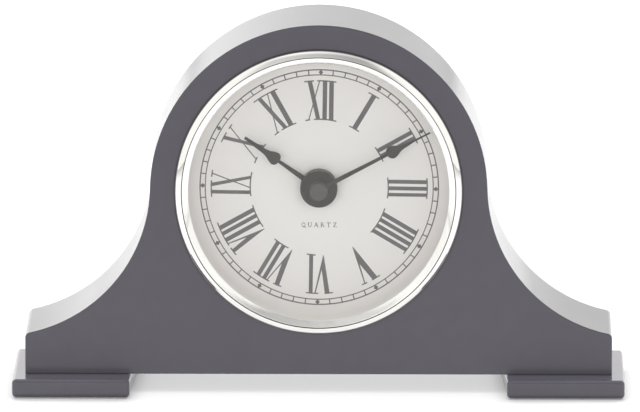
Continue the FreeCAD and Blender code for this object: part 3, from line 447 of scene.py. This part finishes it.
def serif(bm, turn, radius, left, right):
    """Curved serif, concentric with the dial."""
    outer, inner = radius + SERIF_THICK / 2, radius - SERIF_THICK / 2
    asides = [left + (right - left) * step / SERIF_STEPS for step in range(SERIF_STEPS + 1)]
    top = [on_circle(turn, outer, aside) for aside in asides]
    bottom = [on_circle(turn, inner, aside) for aside in reversed(asides)]
    printed(bm, top + bottom, OVER)


def stroke(bm, turn, top, bottom):
    """Straight stroke between the serif circles; top and bottom give its left and right edges."""
    printed(bm, [
        on_circle(turn, SERIF_OUTER_R, top[0]), on_circle(turn, SERIF_OUTER_R, top[1]),
        on_circle(turn, SERIF_INNER_R, bottom[1]), on_circle(turn, SERIF_INNER_R, bottom[0]),
    ])


def bar(bm, turn, left, right):
    stroke(bm, turn, (left, right), (left, right))


def hairline(bm, turn, top, bottom):
    """Thin diagonal; it is printed a little lower than the strokes that it crosses."""
    half = HAIR / 2
    printed(bm, [
        on_circle(turn, SERIF_OUTER_R, top - half), on_circle(turn, SERIF_OUTER_R, top + half),
        on_circle(turn, SERIF_INNER_R, bottom + half), on_circle(turn, SERIF_INNER_R, bottom - half),
    ], UNDER)


def vee(bm, turn, thick, apex, notch, thin):
    """Letter V: thick and thin strokes that meet at an apex on the inner circle."""
    printed(bm, [
        on_circle(turn, SERIF_OUTER_R, thick[0]), on_circle(turn, SERIF_OUTER_R, thick[1]),
        dial_point(turn, notch[1], notch[0]), on_circle(turn, SERIF_OUTER_R, thin[0]),
        on_circle(turn, SERIF_OUTER_R, thin[1]), on_circle(turn, SERIF_INNER_R, apex[1]),
        on_circle(turn, SERIF_INNER_R, apex[0]),
    ])


# Each numeral: upright bars, slanted strokes (top edges, bottom edges), hairlines (top, bottom),
# letter V (thick top, apex, notch, thin top), and the serifs' spans on the outer and inner circles.
# Distances run clockwise from the numeral's centre line, in mm.
NUMERALS = {
    1: dict(bars=[(-1.15, 0.75)], outer=[(-2.7, 2.0)], inner=[(-2.4, 2.0)]),
    2: dict(bars=[(-2.3, -0.7), (0.2, 2.0)], outer=[(-3.5, 3.4)], inner=[(-3.2, 3.1)]),
    3: dict(bars=[(-3.4, -1.9), (-0.8, 0.7), (1.75, 3.1)], outer=[(-4.25, 3.9)],
            inner=[(-4.25, 3.9)]),
    4: dict(bars=[(-4.55, -2.9), (-2.0, -0.5), (0.5, 2.1), (3.05, 4.6)], outer=[(-5.6, 5.75)],
            inner=[(-5.9, 5.0)]),
    5: dict(vee=((-2.5, -0.4), (0.0, 0.25), (1.05, 33.9), (2.75, 3.2)),
            outer=[(-3.7, -0.05), (2.0, 4.25)], inner=[]),
    6: dict(vee=((-4.6, -2.75), (-2.1, -1.9), (-1.4, 32.25), (0.8, 1.3)), bars=[(1.95, 3.45)],
            outer=[(-5.9, -2.6), (-0.3, 4.6)], inner=[(1.0, 4.4)]),
    7: dict(vee=((-6.4, -4.6), (-3.7, -3.5), (-2.9, 33.0), (-1.5, -1.05)),
            bars=[(-0.75, 0.8), (1.8, 3.4)], outer=[(-7.4, -4.0), (-2.3, 4.9)], inner=[(-2.0, 4.4)]),
    8: dict(vee=((-6.45, -5.0), (-4.0, -3.8), (-3.55, 34.1), (-2.4, -2.0)),
            bars=[(-1.4, 0.25), (1.4, 2.9), (3.8, 5.5)], outer=[(-7.6, -4.1), (-3.05, 7.0)],
            inner=[(-3.0, 6.4)]),
    9: dict(bars=[(-3.1, -1.7)], slants=[((-0.3, 1.1), (2.9, 4.1))], hairs=[(4.85, -0.6)],
            outer=[(-4.4, 2.1), (3.4, 6.1)], inner=[(-3.9, 5.5)]),
    10: dict(slants=[((-2.9, -1.4), (1.9, 3.1))], hairs=[(2.6, -3.1)],
             outer=[(-4.25, 0.0), (1.75, 3.9)], inner=[(-4.7, -2.1), (1.2, 3.9)]),
    11: dict(bars=[(1.5, 3.4)], slants=[((-4.1, -2.5), (-0.75, 0.8))], hairs=[(0.4, -3.7)],
             outer=[(-5.9, 4.6)], inner=[(-5.0, -2.9), (-1.75, 4.5)]),
    12: dict(bars=[(0.8, 2.5), (3.3, 5.05)], slants=[((-5.1, -3.4), (-1.6, 0.0))],
             hairs=[(-0.45, -4.4)], outer=[(-6.4, -2.6), (-1.4, 6.0)],
             inner=[(-5.7, -3.9), (-2.5, 6.2)]),
}


def make_numerals():
    bm = bmesh.new()
    for hour, form in NUMERALS.items():
        turn = math.radians(30 * hour) + PRINT_TURN
        for left, right in form.get("bars", []):
            bar(bm, turn, left, right)
        for top, bottom in form.get("slants", []):
            stroke(bm, turn, top, bottom)
        for top, bottom in form.get("hairs", []):
            hairline(bm, turn, top, bottom)
        if "vee" in form:
            vee(bm, turn, *form["vee"])
        for left, right in form["outer"]:
            serif(bm, turn, SERIF_OUTER_R, left, right)
        for left, right in form["inner"]:
            serif(bm, turn, SERIF_INNER_R, left, right)
    finish_mesh(bm, "dial_numerals", "clock_case", INK_FINISH)


TRACK_OUTER_R, TRACK_INNER_R, TRACK_MIDDLE_R = 45.9, 43.9, 44.9
TRACK_OUTER_THICK, TRACK_INNER_THICK, TICK_THICK = 0.48, 0.40, 0.44
DIAMOND = (0.92, 1.05)


def make_track():
    """Minute track: two rings, sixty divisions and a diamond at each hour."""
    bm = bmesh.new()
    for radius, thick in ((TRACK_OUTER_R, TRACK_OUTER_THICK), (TRACK_INNER_R, TRACK_INNER_THICK)):
        printed_ring(bm, radius + thick / 2, radius - thick / 2)
    half = TICK_THICK / 2
    across, along = DIAMOND
    for minute in range(60):
        turn = math.radians(6 * minute) + PRINT_TURN
        if minute % 5:
            corners = ((TRACK_OUTER_R, -half), (TRACK_OUTER_R, half),
                       (TRACK_INNER_R, half), (TRACK_INNER_R, -half))
        else:
            corners = ((TRACK_MIDDLE_R + along, 0.0), (TRACK_MIDDLE_R, across),
                       (TRACK_MIDDLE_R - along, 0.0), (TRACK_MIDDLE_R, -across))
        printed(bm, [dial_point(turn, *corner) for corner in corners], UNDER if minute % 5 else OVER)
    finish_mesh(bm, "dial_minute_track", "clock_case", INK_FINISH)


# A generic word in small capitals, each letter in a cell one unit high: straight strokes as
# (start, end, width), and arcs as (centre, radius across, radius up, first angle, last angle).
WORD_HEIGHT = 1.75
WORD_DROP = 14.7                      # middle of the word below the print's centre
WORD_PITCH = 2.42
THIN, THICK = 0.10, 0.17
ARC_THICK = THIN * 1.2
ARC_STEPS = 16
LETTER_MIDDLE = 0.42
WORD_PRINT = 0.8                      # of the ink's thickness, with a little more for each layer
STROKE_LAYER, ARC_LAYER = 0.03, 0.01
LETTERS = (
    dict(arcs=[((0.42, 0.5), 0.36, 0.46, 0, 360)], strokes=[((0.42, 0.22), (0.86, -0.16), THICK)]),
    dict(arcs=[((0.43, 0.34), 0.31, 0.30, 90, 270)],
         strokes=[((0.12, 1.0), (0.12, 0.34), THICK), ((0.74, 1.0), (0.74, 0.34), THIN),
                  ((0.0, 1.0), (0.26, 1.0), THIN), ((0.62, 1.0), (0.86, 1.0), THIN)]),
    dict(strokes=[((0.42, 1.0), (0.08, 0.0), THIN), ((0.42, 1.0), (0.78, 0.0), THICK),
                  ((0.2, 0.34), (0.66, 0.34), THIN), ((0.0, 0.0), (0.2, 0.0), THIN),
                  ((0.64, 0.0), (0.9, 0.0), THIN)]),
    dict(arcs=[((0.36, 0.75), 0.26, 0.22, 0, 180)],
         strokes=[((0.18, 1.0), (0.18, 0.0), THICK), ((0.18, 0.97), (0.36, 0.97), THIN),
                  ((0.18, 0.53), (0.36, 0.53), THIN), ((0.42, 0.53), (0.8, 0.0), THICK),
                  ((0.04, 0.0), (0.32, 0.0), THIN)]),
    dict(strokes=[((0.42, 1.0), (0.42, 0.0), THICK), ((0.04, 0.98), (0.8, 0.98), THIN),
                  ((0.06, 1.0), (0.06, 0.78), THIN), ((0.78, 1.0), (0.78, 0.78), THIN),
                  ((0.28, 0.0), (0.56, 0.0), THIN)]),
    dict(strokes=[((0.1, 0.97), (0.74, 0.97), THIN), ((0.68, 0.97), (0.12, 0.03), THICK),
                  ((0.08, 0.03), (0.76, 0.03), THIN), ((0.12, 1.0), (0.12, 0.8), THIN),
                  ((0.74, 0.22), (0.74, 0.0), THIN)]),
)


def make_word():
    bm = bmesh.new()
    start = -WORD_PITCH * (len(LETTERS) - 1) / 2 - LETTER_MIDDLE * WORD_HEIGHT
    base = -WORD_DROP - WORD_HEIGHT / 2

    def place(number, x, y):
        return ((start + number * WORD_PITCH + x * WORD_HEIGHT) * MM, (base + y * WORD_HEIGHT) * MM)

    def draw(number, one, two, width, thick):
        along = (Vector(two) - Vector(one)).normalized() * width / 2
        aside = Vector((-along.y, along.x))
        corners = [Vector(one) + aside, Vector(two) + aside, Vector(two) - aside, Vector(one) - aside]
        printed(bm, [place(number, *corner) for corner in corners], thick)

    for number, letter in enumerate(LETTERS):
        layer = 0
        for one, two, width in letter["strokes"]:
            layer += 1
            draw(number, one, two, width, INK_THICK * (WORD_PRINT + STROKE_LAYER * layer))
        for (x, y), across, up, first, last in letter.get("arcs", []):
            turns = [math.radians(first + (last - first) * step / ARC_STEPS)
                     for step in range(ARC_STEPS + 1)]
            points = [(x + across * math.sin(turn), y + up * math.cos(turn)) for turn in turns]
            for one, two in zip(points, points[1:]):
                layer += 1
                draw(number, one, two, ARC_THICK, INK_THICK * (WORD_PRINT + ARC_LAYER * layer))
    finish_mesh(bm, "dial_word", "clock_case", INK_FINISH)


make_numerals()
make_track()
make_word()


# ---- bezel and reflector -----------------------------------------------------------------------
BEZEL_LIP_R = 52.9 * MM
BEZEL_SEAT_R = 53.35 * MM
BEZEL_FOOT = (0.4 * MM, 0.45 * MM)    # undercut where the rim meets the case: inwards, forwards
BEZEL_SIDE = 0.7 * MM
BEZEL_LIP = 0.3 * MM
BEZEL_SLOPES = math.radians(22), math.radians(80)     # of the rim's round, at the lip and the side
REFLECTOR_RIM_R = 52.75 * MM
REFLECTOR_WALL_R = 50.2 * MM
REFLECTOR_RISE = 1.2 * MM
REFLECTOR_SLOPES = math.radians(18), math.radians(38)
DIAL_EDGE_R = 51.4 * MM
REBATE_DEPTH = 2.4 * MM
RIM_STEPS = 24
# dark beads put in where there is only a shadow gap: painted shade lines at the rim's foot and at its
# lip
SHADOW_LINE_WIDTH = 0.34 * MM
LIP_SHADOW_LINE_PROUD = 0.12 * MM
CASE_SHADOW_LINE_SHOWS = 0.22 * MM
CASE_SHADOW_LINE_PROUD = 0.3 * MM


def bowed(start, end, slopes):
    """Curve between two (radius, y) points that leaves and arrives at the given slopes."""
    start, end = Vector(start), Vector(end)
    sign = 1 if end.x > start.x else -1
    leave = Vector((sign * math.cos(slopes[0]), math.sin(slopes[0])))
    arrive = Vector((sign * math.cos(slopes[1]), math.sin(slopes[1])))
    span = end - start
    reach = (span.x * arrive.y - span.y * arrive.x) / (leave.x * arrive.y - leave.y * arrive.x)
    knee = start + leave * reach
    points = []
    for step in range(RIM_STEPS + 1):
        points.append(tuple(quadratic(start, knee, end, step / RIM_STEPS)))
    return points


def make_bezel():
    """Rounded chrome rim; the same section as the turned part, finely divided."""
    outer, lip, seat = BEZEL_R, BEZEL_LIP_R, BEZEL_SEAT_R
    foot_in, foot_high = BEZEL_FOOT
    front, back = BEZEL_LOW.y, BEZEL_HIGH.y
    side = back - BEZEL_SIDE
    crest = bowed((lip, front), (outer, side), BEZEL_SLOPES)
    inner = [(outer, back - foot_high), (outer - foot_in, back - foot_high), (outer - foot_in, back),
             (seat, back), (seat, front + BEZEL_LIP), (lip, front + BEZEL_LIP)]
    piece = finish_mesh(lathe(crest + inner), "bezel_rim", "clock_case",
                        MATERIALS["chrome_plate"], sharp=40)
    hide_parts("bezel_ring")


def make_reflector():
    """Bowed bright rim and straight wall inside the glass, with its flange."""
    low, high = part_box("reflector_ring")
    seat_r = (high.x - low.x) / 2
    ledge = CASE_FRONT_Y + REBATE_DEPTH
    crest = bowed((REFLECTOR_RIM_R, low.y), (REFLECTOR_WALL_R, low.y + REFLECTOR_RISE),
                  REFLECTOR_SLOPES)
    rest = [(REFLECTOR_WALL_R, high.y), (DIAL_EDGE_R, high.y), (DIAL_EDGE_R, ledge), (seat_r, ledge),
            (seat_r, low.y)]
    piece = finish_mesh(lathe(crest + rest), "dial_reflector", "clock_case",
                        make_reflector_finish(), sharp=40)
    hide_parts("reflector_ring")


def make_shadow_lines():
    """Thin dark rubber beads that paint in shadow lines: painted shade where the rim meets the case,
    and where its lip meets the glass.
    """
    face, rubber = CASE_FRONT_Y, MATERIALS["seal_rubber"]
    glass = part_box("lens")[0].y
    # each ring is dark rubber set where there is only a shadow gap: painted shade
    for name, outer, inner, back, proud in (
            ("case_shadow_line", BEZEL_R + CASE_SHADOW_LINE_SHOWS, BEZEL_R - 2 * SHADOW_LINE_WIDTH, face, CASE_SHADOW_LINE_PROUD),
            ("lip_shadow_line", BEZEL_LIP_R, BEZEL_LIP_R - SHADOW_LINE_WIDTH, glass, LIP_SHADOW_LINE_PROUD)):
        corners = [(outer, back), (outer, back - proud), (inner, back - proud), (inner, back)]
        finish_mesh(lathe(rounded(corners, proud / 3)), name, "clock_case", rubber,
                    sharp=60)


make_bezel()
make_reflector()
make_shadow_lines()


# ---- pieces with softened edges ----------------------------------------------------------------
SOFT_EDGES = {"hour_hand": 0.10 * MM, "minute_hand": 0.10 * MM, "movement_rear_housing": 0.35 * MM,
              "fixing_nut": 0.15 * MM, "control_chip": 0.10 * MM}
WELD = 0.001 * MM
FLAT_ANGLE = math.radians(0.8)
EDGE_ANGLE = math.radians(40)


def soften(node, width):
    """Stand-in for a CAD node with its sharp edges broken, as pressed and moulded parts have them."""
    bm = bmesh.new()
    bm.from_mesh(NODES[node].data)
    bmesh.ops.remove_doubles(bm, verts=bm.verts, dist=WELD)
    bmesh.ops.dissolve_limit(bm, angle_limit=FLAT_ANGLE, verts=bm.verts, edges=bm.edges)
    sharp = [edge for edge in bm.edges
             if len(edge.link_faces) == 2 and edge.calc_face_angle(0) > EDGE_ANGLE]
    bmesh.ops.bevel(bm, geom=sharp, offset=width, offset_type="OFFSET", segments=2, profile=0.5,
                    affect="EDGES", clamp_overlap=True)
    slot = SLOTS[node]
    piece = finish_mesh(bm, f"{node}_finished", BODIES[node], MATERIALS[slot], sharp=25)
    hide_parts(node)


for node_name, width in SOFT_EDGES.items():
    soften(node_name, width)


# ---- battery -----------------------------------------------------------------------------------
CELL_NUB = 1.3 * MM                   # terminal's height over the shoulder
CELL_STEPS = 96
COPPER_SPAN = 13.0 * MM
BARE_TOP, BARE_BASE = 0.4 * MM, 0.25 * MM
MARK_REACH, MARK_HALF, MARK_PROUD = 1.5 * MM, 0.32 * MM, 0.03 * MM
MARK_INSET = 5.0 * MM
MARK_COLUMNS = 6

# Turned profile of the cell in mm, from its base to its terminal. End plates are given as (radius,
# height) and the jacket as (distance inside the full radius, height). Heights run from the base, the
# shoulder or the terminal's end.
PLATE_AT_BASE = (0.0, 0.1), (4.6, 0.0), (5.0, 0.35), (5.9, 0.35), (6.1, 0.0)
JACKET_AT_BASE = (0.3, 0.15), (0.0, 0.75)
JACKET_AT_SHOULDER = (0.0, -0.75), (0.25, -0.2), (0.8, 0.0), (1.1, -0.3)
PLATE_AT_SHOULDER = (4.0, -0.3), (2.8, 0.0), (2.7, 0.3)
TERMINAL = (2.7, -0.25), (2.45, 0.0), (0.0, 0.0)


def make_jacket(low_x, high_x):
    """Dark jacket with a copper-coloured shoulder, and bright metal at both ends."""
    made = Finish("cell_jacket_printed", Coat_Weight=0.5, Coat_Roughness=0.12)
    along = made.axes("Object")["X"]
    shoulder = made.maths("GREATER_THAN", along, high_x - COPPER_SPAN)
    bright = made.maths("MAXIMUM", made.maths("GREATER_THAN", along, high_x - CELL_NUB - BARE_TOP),
                        made.maths("LESS_THAN", along, low_x + BARE_BASE))
    scuffs = made.remap(made.noise(0.004, detail=4.0), 0.0, 1.0)
    body = made.mix(scuffs, (0.022, 0.024, 0.03, 1), (0.032, 0.034, 0.042, 1))
    copper = made.mix(scuffs, (0.50, 0.24, 0.10, 1), (0.58, 0.30, 0.14, 1))
    printed_colour = made.mix(shoulder, body, copper)
    made.colour(bright, printed_colour, (0.62, 0.61, 0.58, 1))
    made.feed(made.shader.inputs["Metallic"], bright)
    made.roughness(made.remap(made.noise(0.003), 0.24, 0.34))
    return made.material


def make_battery():
    """Dry cell along X: rolled jacket, recessed end plates, terminal and polarity marks."""
    low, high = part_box("battery")
    middle_y, middle_z = (low.y + high.y) / 2, (low.z + high.z) / 2
    radius = (high.z - low.z) / 2
    shoulder_x = high.x - CELL_NUB
    profile = [(r * MM, low.x + x * MM) for r, x in PLATE_AT_BASE]
    profile += [(radius - inside * MM, low.x + x * MM) for inside, x in JACKET_AT_BASE]
    profile += [(radius - inside * MM, shoulder_x + x * MM) for inside, x in JACKET_AT_SHOULDER]
    profile += [(r * MM, shoulder_x + x * MM) for r, x in PLATE_AT_SHOULDER]
    profile += [(r * MM, high.x + x * MM) for r, x in TERMINAL]
    turns = [FULL_TURN * step / CELL_STEPS for step in range(CELL_STEPS)]
    bm = bmesh.new()
    rings = []
    for r, x in profile:
        if r == 0.0:
            rings.append([bm.verts.new((x, middle_y, middle_z))] * CELL_STEPS)
            continue
        rings.append([bm.verts.new((x, middle_y + r * math.sin(turn), middle_z + r * math.cos(turn)))
                      for turn in turns])
    for ring, following in zip(rings, rings[1:]):
        for step in range(CELL_STEPS):
            after = (step + 1) % CELL_STEPS
            corners = [ring[step], ring[after], following[after], following[step]]
            bm.faces.new(list(dict.fromkeys(corners)))

    marks = bmesh.new()

    def mark(x_span, height_span):
        """Thin printed bar wrapped on the jacket's back, between two heights off its middle."""
        grid = []
        for column in range(MARK_COLUMNS + 1):
            height = height_span[0] + (height_span[1] - height_span[0]) * column / MARK_COLUMNS
            back = math.sqrt(radius ** 2 - height ** 2)
            grid.append([marks.verts.new((x, middle_y + back + proud, middle_z + height))
                         for proud in (MARK_PROUD, -MARK_PROUD) for x in x_span])
        for one, two in zip(grid, grid[1:]):
            for a, b in ((0, 1), (1, 3), (3, 2), (2, 0)):
                marks.faces.new((one[a], one[b], two[b], two[a]))
        for end in (grid[0], grid[-1]):
            marks.faces.new((end[0], end[1], end[3], end[2]))

    plus_x, minus_x = shoulder_x - MARK_INSET, low.x + MARK_INSET
    mark((plus_x - MARK_REACH, plus_x + MARK_REACH), (-MARK_HALF, MARK_HALF))
    mark((plus_x - MARK_HALF, plus_x + MARK_HALF), (-MARK_REACH, -MARK_HALF))
    mark((plus_x - MARK_HALF, plus_x + MARK_HALF), (MARK_HALF, MARK_REACH))
    mark((minus_x - MARK_HALF, minus_x + MARK_HALF), (-MARK_REACH, MARK_REACH))
    finish_mesh(marks, "battery_marks", "battery",
                plastic("polarity_print", (0.78, 0.77, 0.74, 1), 0.35, 0.0))
    piece = finish_mesh(bm, "battery_cell", "battery", make_jacket(low.x, high.x),
                        sharp=30)
    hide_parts("battery")


make_battery()


# ---- floor, light and camera -------------------------------------------------------------------
FLOOR_HALF = 6.0
FLOOR_DARK, FLOOR_LIGHT = (0.55, 0.55, 0.555, 1), (0.57, 0.57, 0.575, 1)
FLOOR_GLOW = 0.03                     # a trace of light from within the white table

# Sky by direction: (upward part of the direction, brightness), then how far to the side the bright
# flanks begin and are full, and the slant in brightness from left to right.
SKY = (0.0, 1.35), (0.20, 1.35), (0.42, 0.62), (0.82, 0.55), (0.97, 0.95), (1.0, 0.95)
SKY_TINT = 1.0, 0.99, 0.985
FLANK = (1.07, 1.065, 1.05, 1)
FLANK_REACH = 0.30, 0.55
SLANT_REACH = -0.2, 0.2
SLANT = 1.18, 0.82

# Lamps: place, target, (width, height), watts. None of them shows in the glass or the chrome.
FRONT_FILL = (0.0, -2.8, 0.48), (0.0, 0.0, 0.07), (3.2, 0.9), 28.0
TABLE_LIGHT = (0.0, 1.6, 1.7), (0.0, 0.0, 0.0), (3.0, 2.0), 90.0
NEAR_LIGHT = (0.0, -0.45, 1.3), (0.0, -0.1, 0.0), (1.8, 1.0), 12.0

CAMERA_PLACE = Vector((0.0479, -4.9383, 0.9700))
CAMERA_TARGET = Vector((0.000525, -0.0196, 0.07338))
CAMERA_ROLL = math.radians(-0.03)
SENSOR, FOCAL_LENGTH = 36.0, 731.9    # mm
CLIP = 0.1, 50.0


def make_floor():
    bm = bmesh.new()
    bmesh.ops.create_grid(bm, x_segments=1, y_segments=1, size=FLOOR_HALF)
    mesh = bpy.data.meshes.new("studio_floor")
    bm.to_mesh(mesh)
    bm.free()
    floor = bpy.data.objects.new("studio_floor", mesh)
    bpy.context.scene.collection.objects.link(floor)
    made = Finish("studio_floor", Roughness=0.9, Specular_IOR_Level=0.1, Emission_Strength=FLOOR_GLOW)
    made.shader.inputs["Emission Color"].default_value = (1.0, 1.0, 1.0, 1)
    made.colour(made.remap(made.noise(0.5), 0.0, 1.0), FLOOR_DARK, FLOOR_LIGHT)
    mesh.materials.append(made.material)
    return floor


def make_world():
    """Pale studio all round: bright towards the horizon and at both flanks, softer overhead."""
    world = bpy.data.worlds.new("studio")
    bpy.context.scene.world = world
    world.use_nodes = True
    sky = Wiring(world.node_tree)
    background = next(n for n in sky.tree.nodes if n.type == "BACKGROUND")
    axes = sky.axes("Generated")
    ramp = sky.node("ShaderNodeValToRGB")
    sky.feed(ramp.inputs[0], axes["Z"])
    for position, _ in SKY[1:-1]:
        ramp.color_ramp.elements.new(position)
    for element, (position, level) in zip(ramp.color_ramp.elements, SKY):
        element.position = position
        element.color = [level * tint for tint in SKY_TINT] + [1]
    slant = sky.remap(axes["X"], *SLANT, *SLANT_REACH)
    backdrop = sky.mix(1.0, ramp.outputs["Color"], slant, blend_type="MULTIPLY")
    flank = sky.remap(sky.maths("ABSOLUTE", axes["X"]), 0.0, 1.0, *FLANK_REACH,
                      interpolation_type="SMOOTHSTEP")
    sky.feed(background.inputs["Color"], sky.mix(flank, backdrop, FLANK))
    background.inputs["Strength"].default_value = 1.0


def add_lamp(name, place, target, size, power):
    data = bpy.data.lights.new(name, "AREA")
    data.shape = "RECTANGLE"
    data.size, data.size_y = size
    data.energy = power
    lamp = bpy.data.objects.new(name, data)
    lamp.location = place
    lamp.rotation_euler = (Vector(target) - Vector(place)).to_track_quat("-Z", "Y").to_euler()
    lamp.visible_glossy = False
    lamp.visible_transmission = False
    bpy.context.scene.collection.objects.link(lamp)
    return lamp


def link_lamp(lamp, lit, blocking=()):
    """Keep a lamp to the named receivers and, where given, its shadows to the named blockers."""
    def gather(suffix, members):
        group = bpy.data.collections.new(f"{lamp.name}_{suffix}")
        for member in members:
            group.objects.link(member)
        return group

    lamp.light_linking.receiver_collection = gather("receivers", lit)
    if blocking:
        lamp.light_linking.blocker_collection = gather("blockers", blocking)


def make_camera():
    data = bpy.data.cameras.new("camera")
    data.sensor_width = SENSOR
    data.lens = FOCAL_LENGTH
    data.clip_start, data.clip_end = CLIP
    camera = bpy.data.objects.new("camera", data)
    forward = (CAMERA_TARGET - CAMERA_PLACE).normalized()
    right = forward.cross(Vector((0, 0, 1))).normalized()
    up = right.cross(forward)
    turned_right = right * math.cos(CAMERA_ROLL) - up * math.sin(CAMERA_ROLL)
    turned_up = right * math.sin(CAMERA_ROLL) + up * math.cos(CAMERA_ROLL)
    axes = Matrix((turned_right, turned_up, -forward)).transposed()
    camera.matrix_world = Matrix.Translation(CAMERA_PLACE) @ axes.to_4x4()
    bpy.context.scene.collection.objects.link(camera)
    bpy.context.scene.camera = camera


FEET = [NODES["left_foot"], NODES["right_foot"]]
table = make_floor()
make_world()
add_lamp("front_fill", *FRONT_FILL)
table_light = add_lamp("table_light", *TABLE_LIGHT)
link_lamp(table_light, [table] + FEET, FEET)
near_light = add_lamp("near_light", *NEAR_LIGHT)
near_light.data.use_shadow = False
link_lamp(near_light, [table] + FEET)
make_camera()
bpy.context.scene.view_settings.view_transform = "Standard"
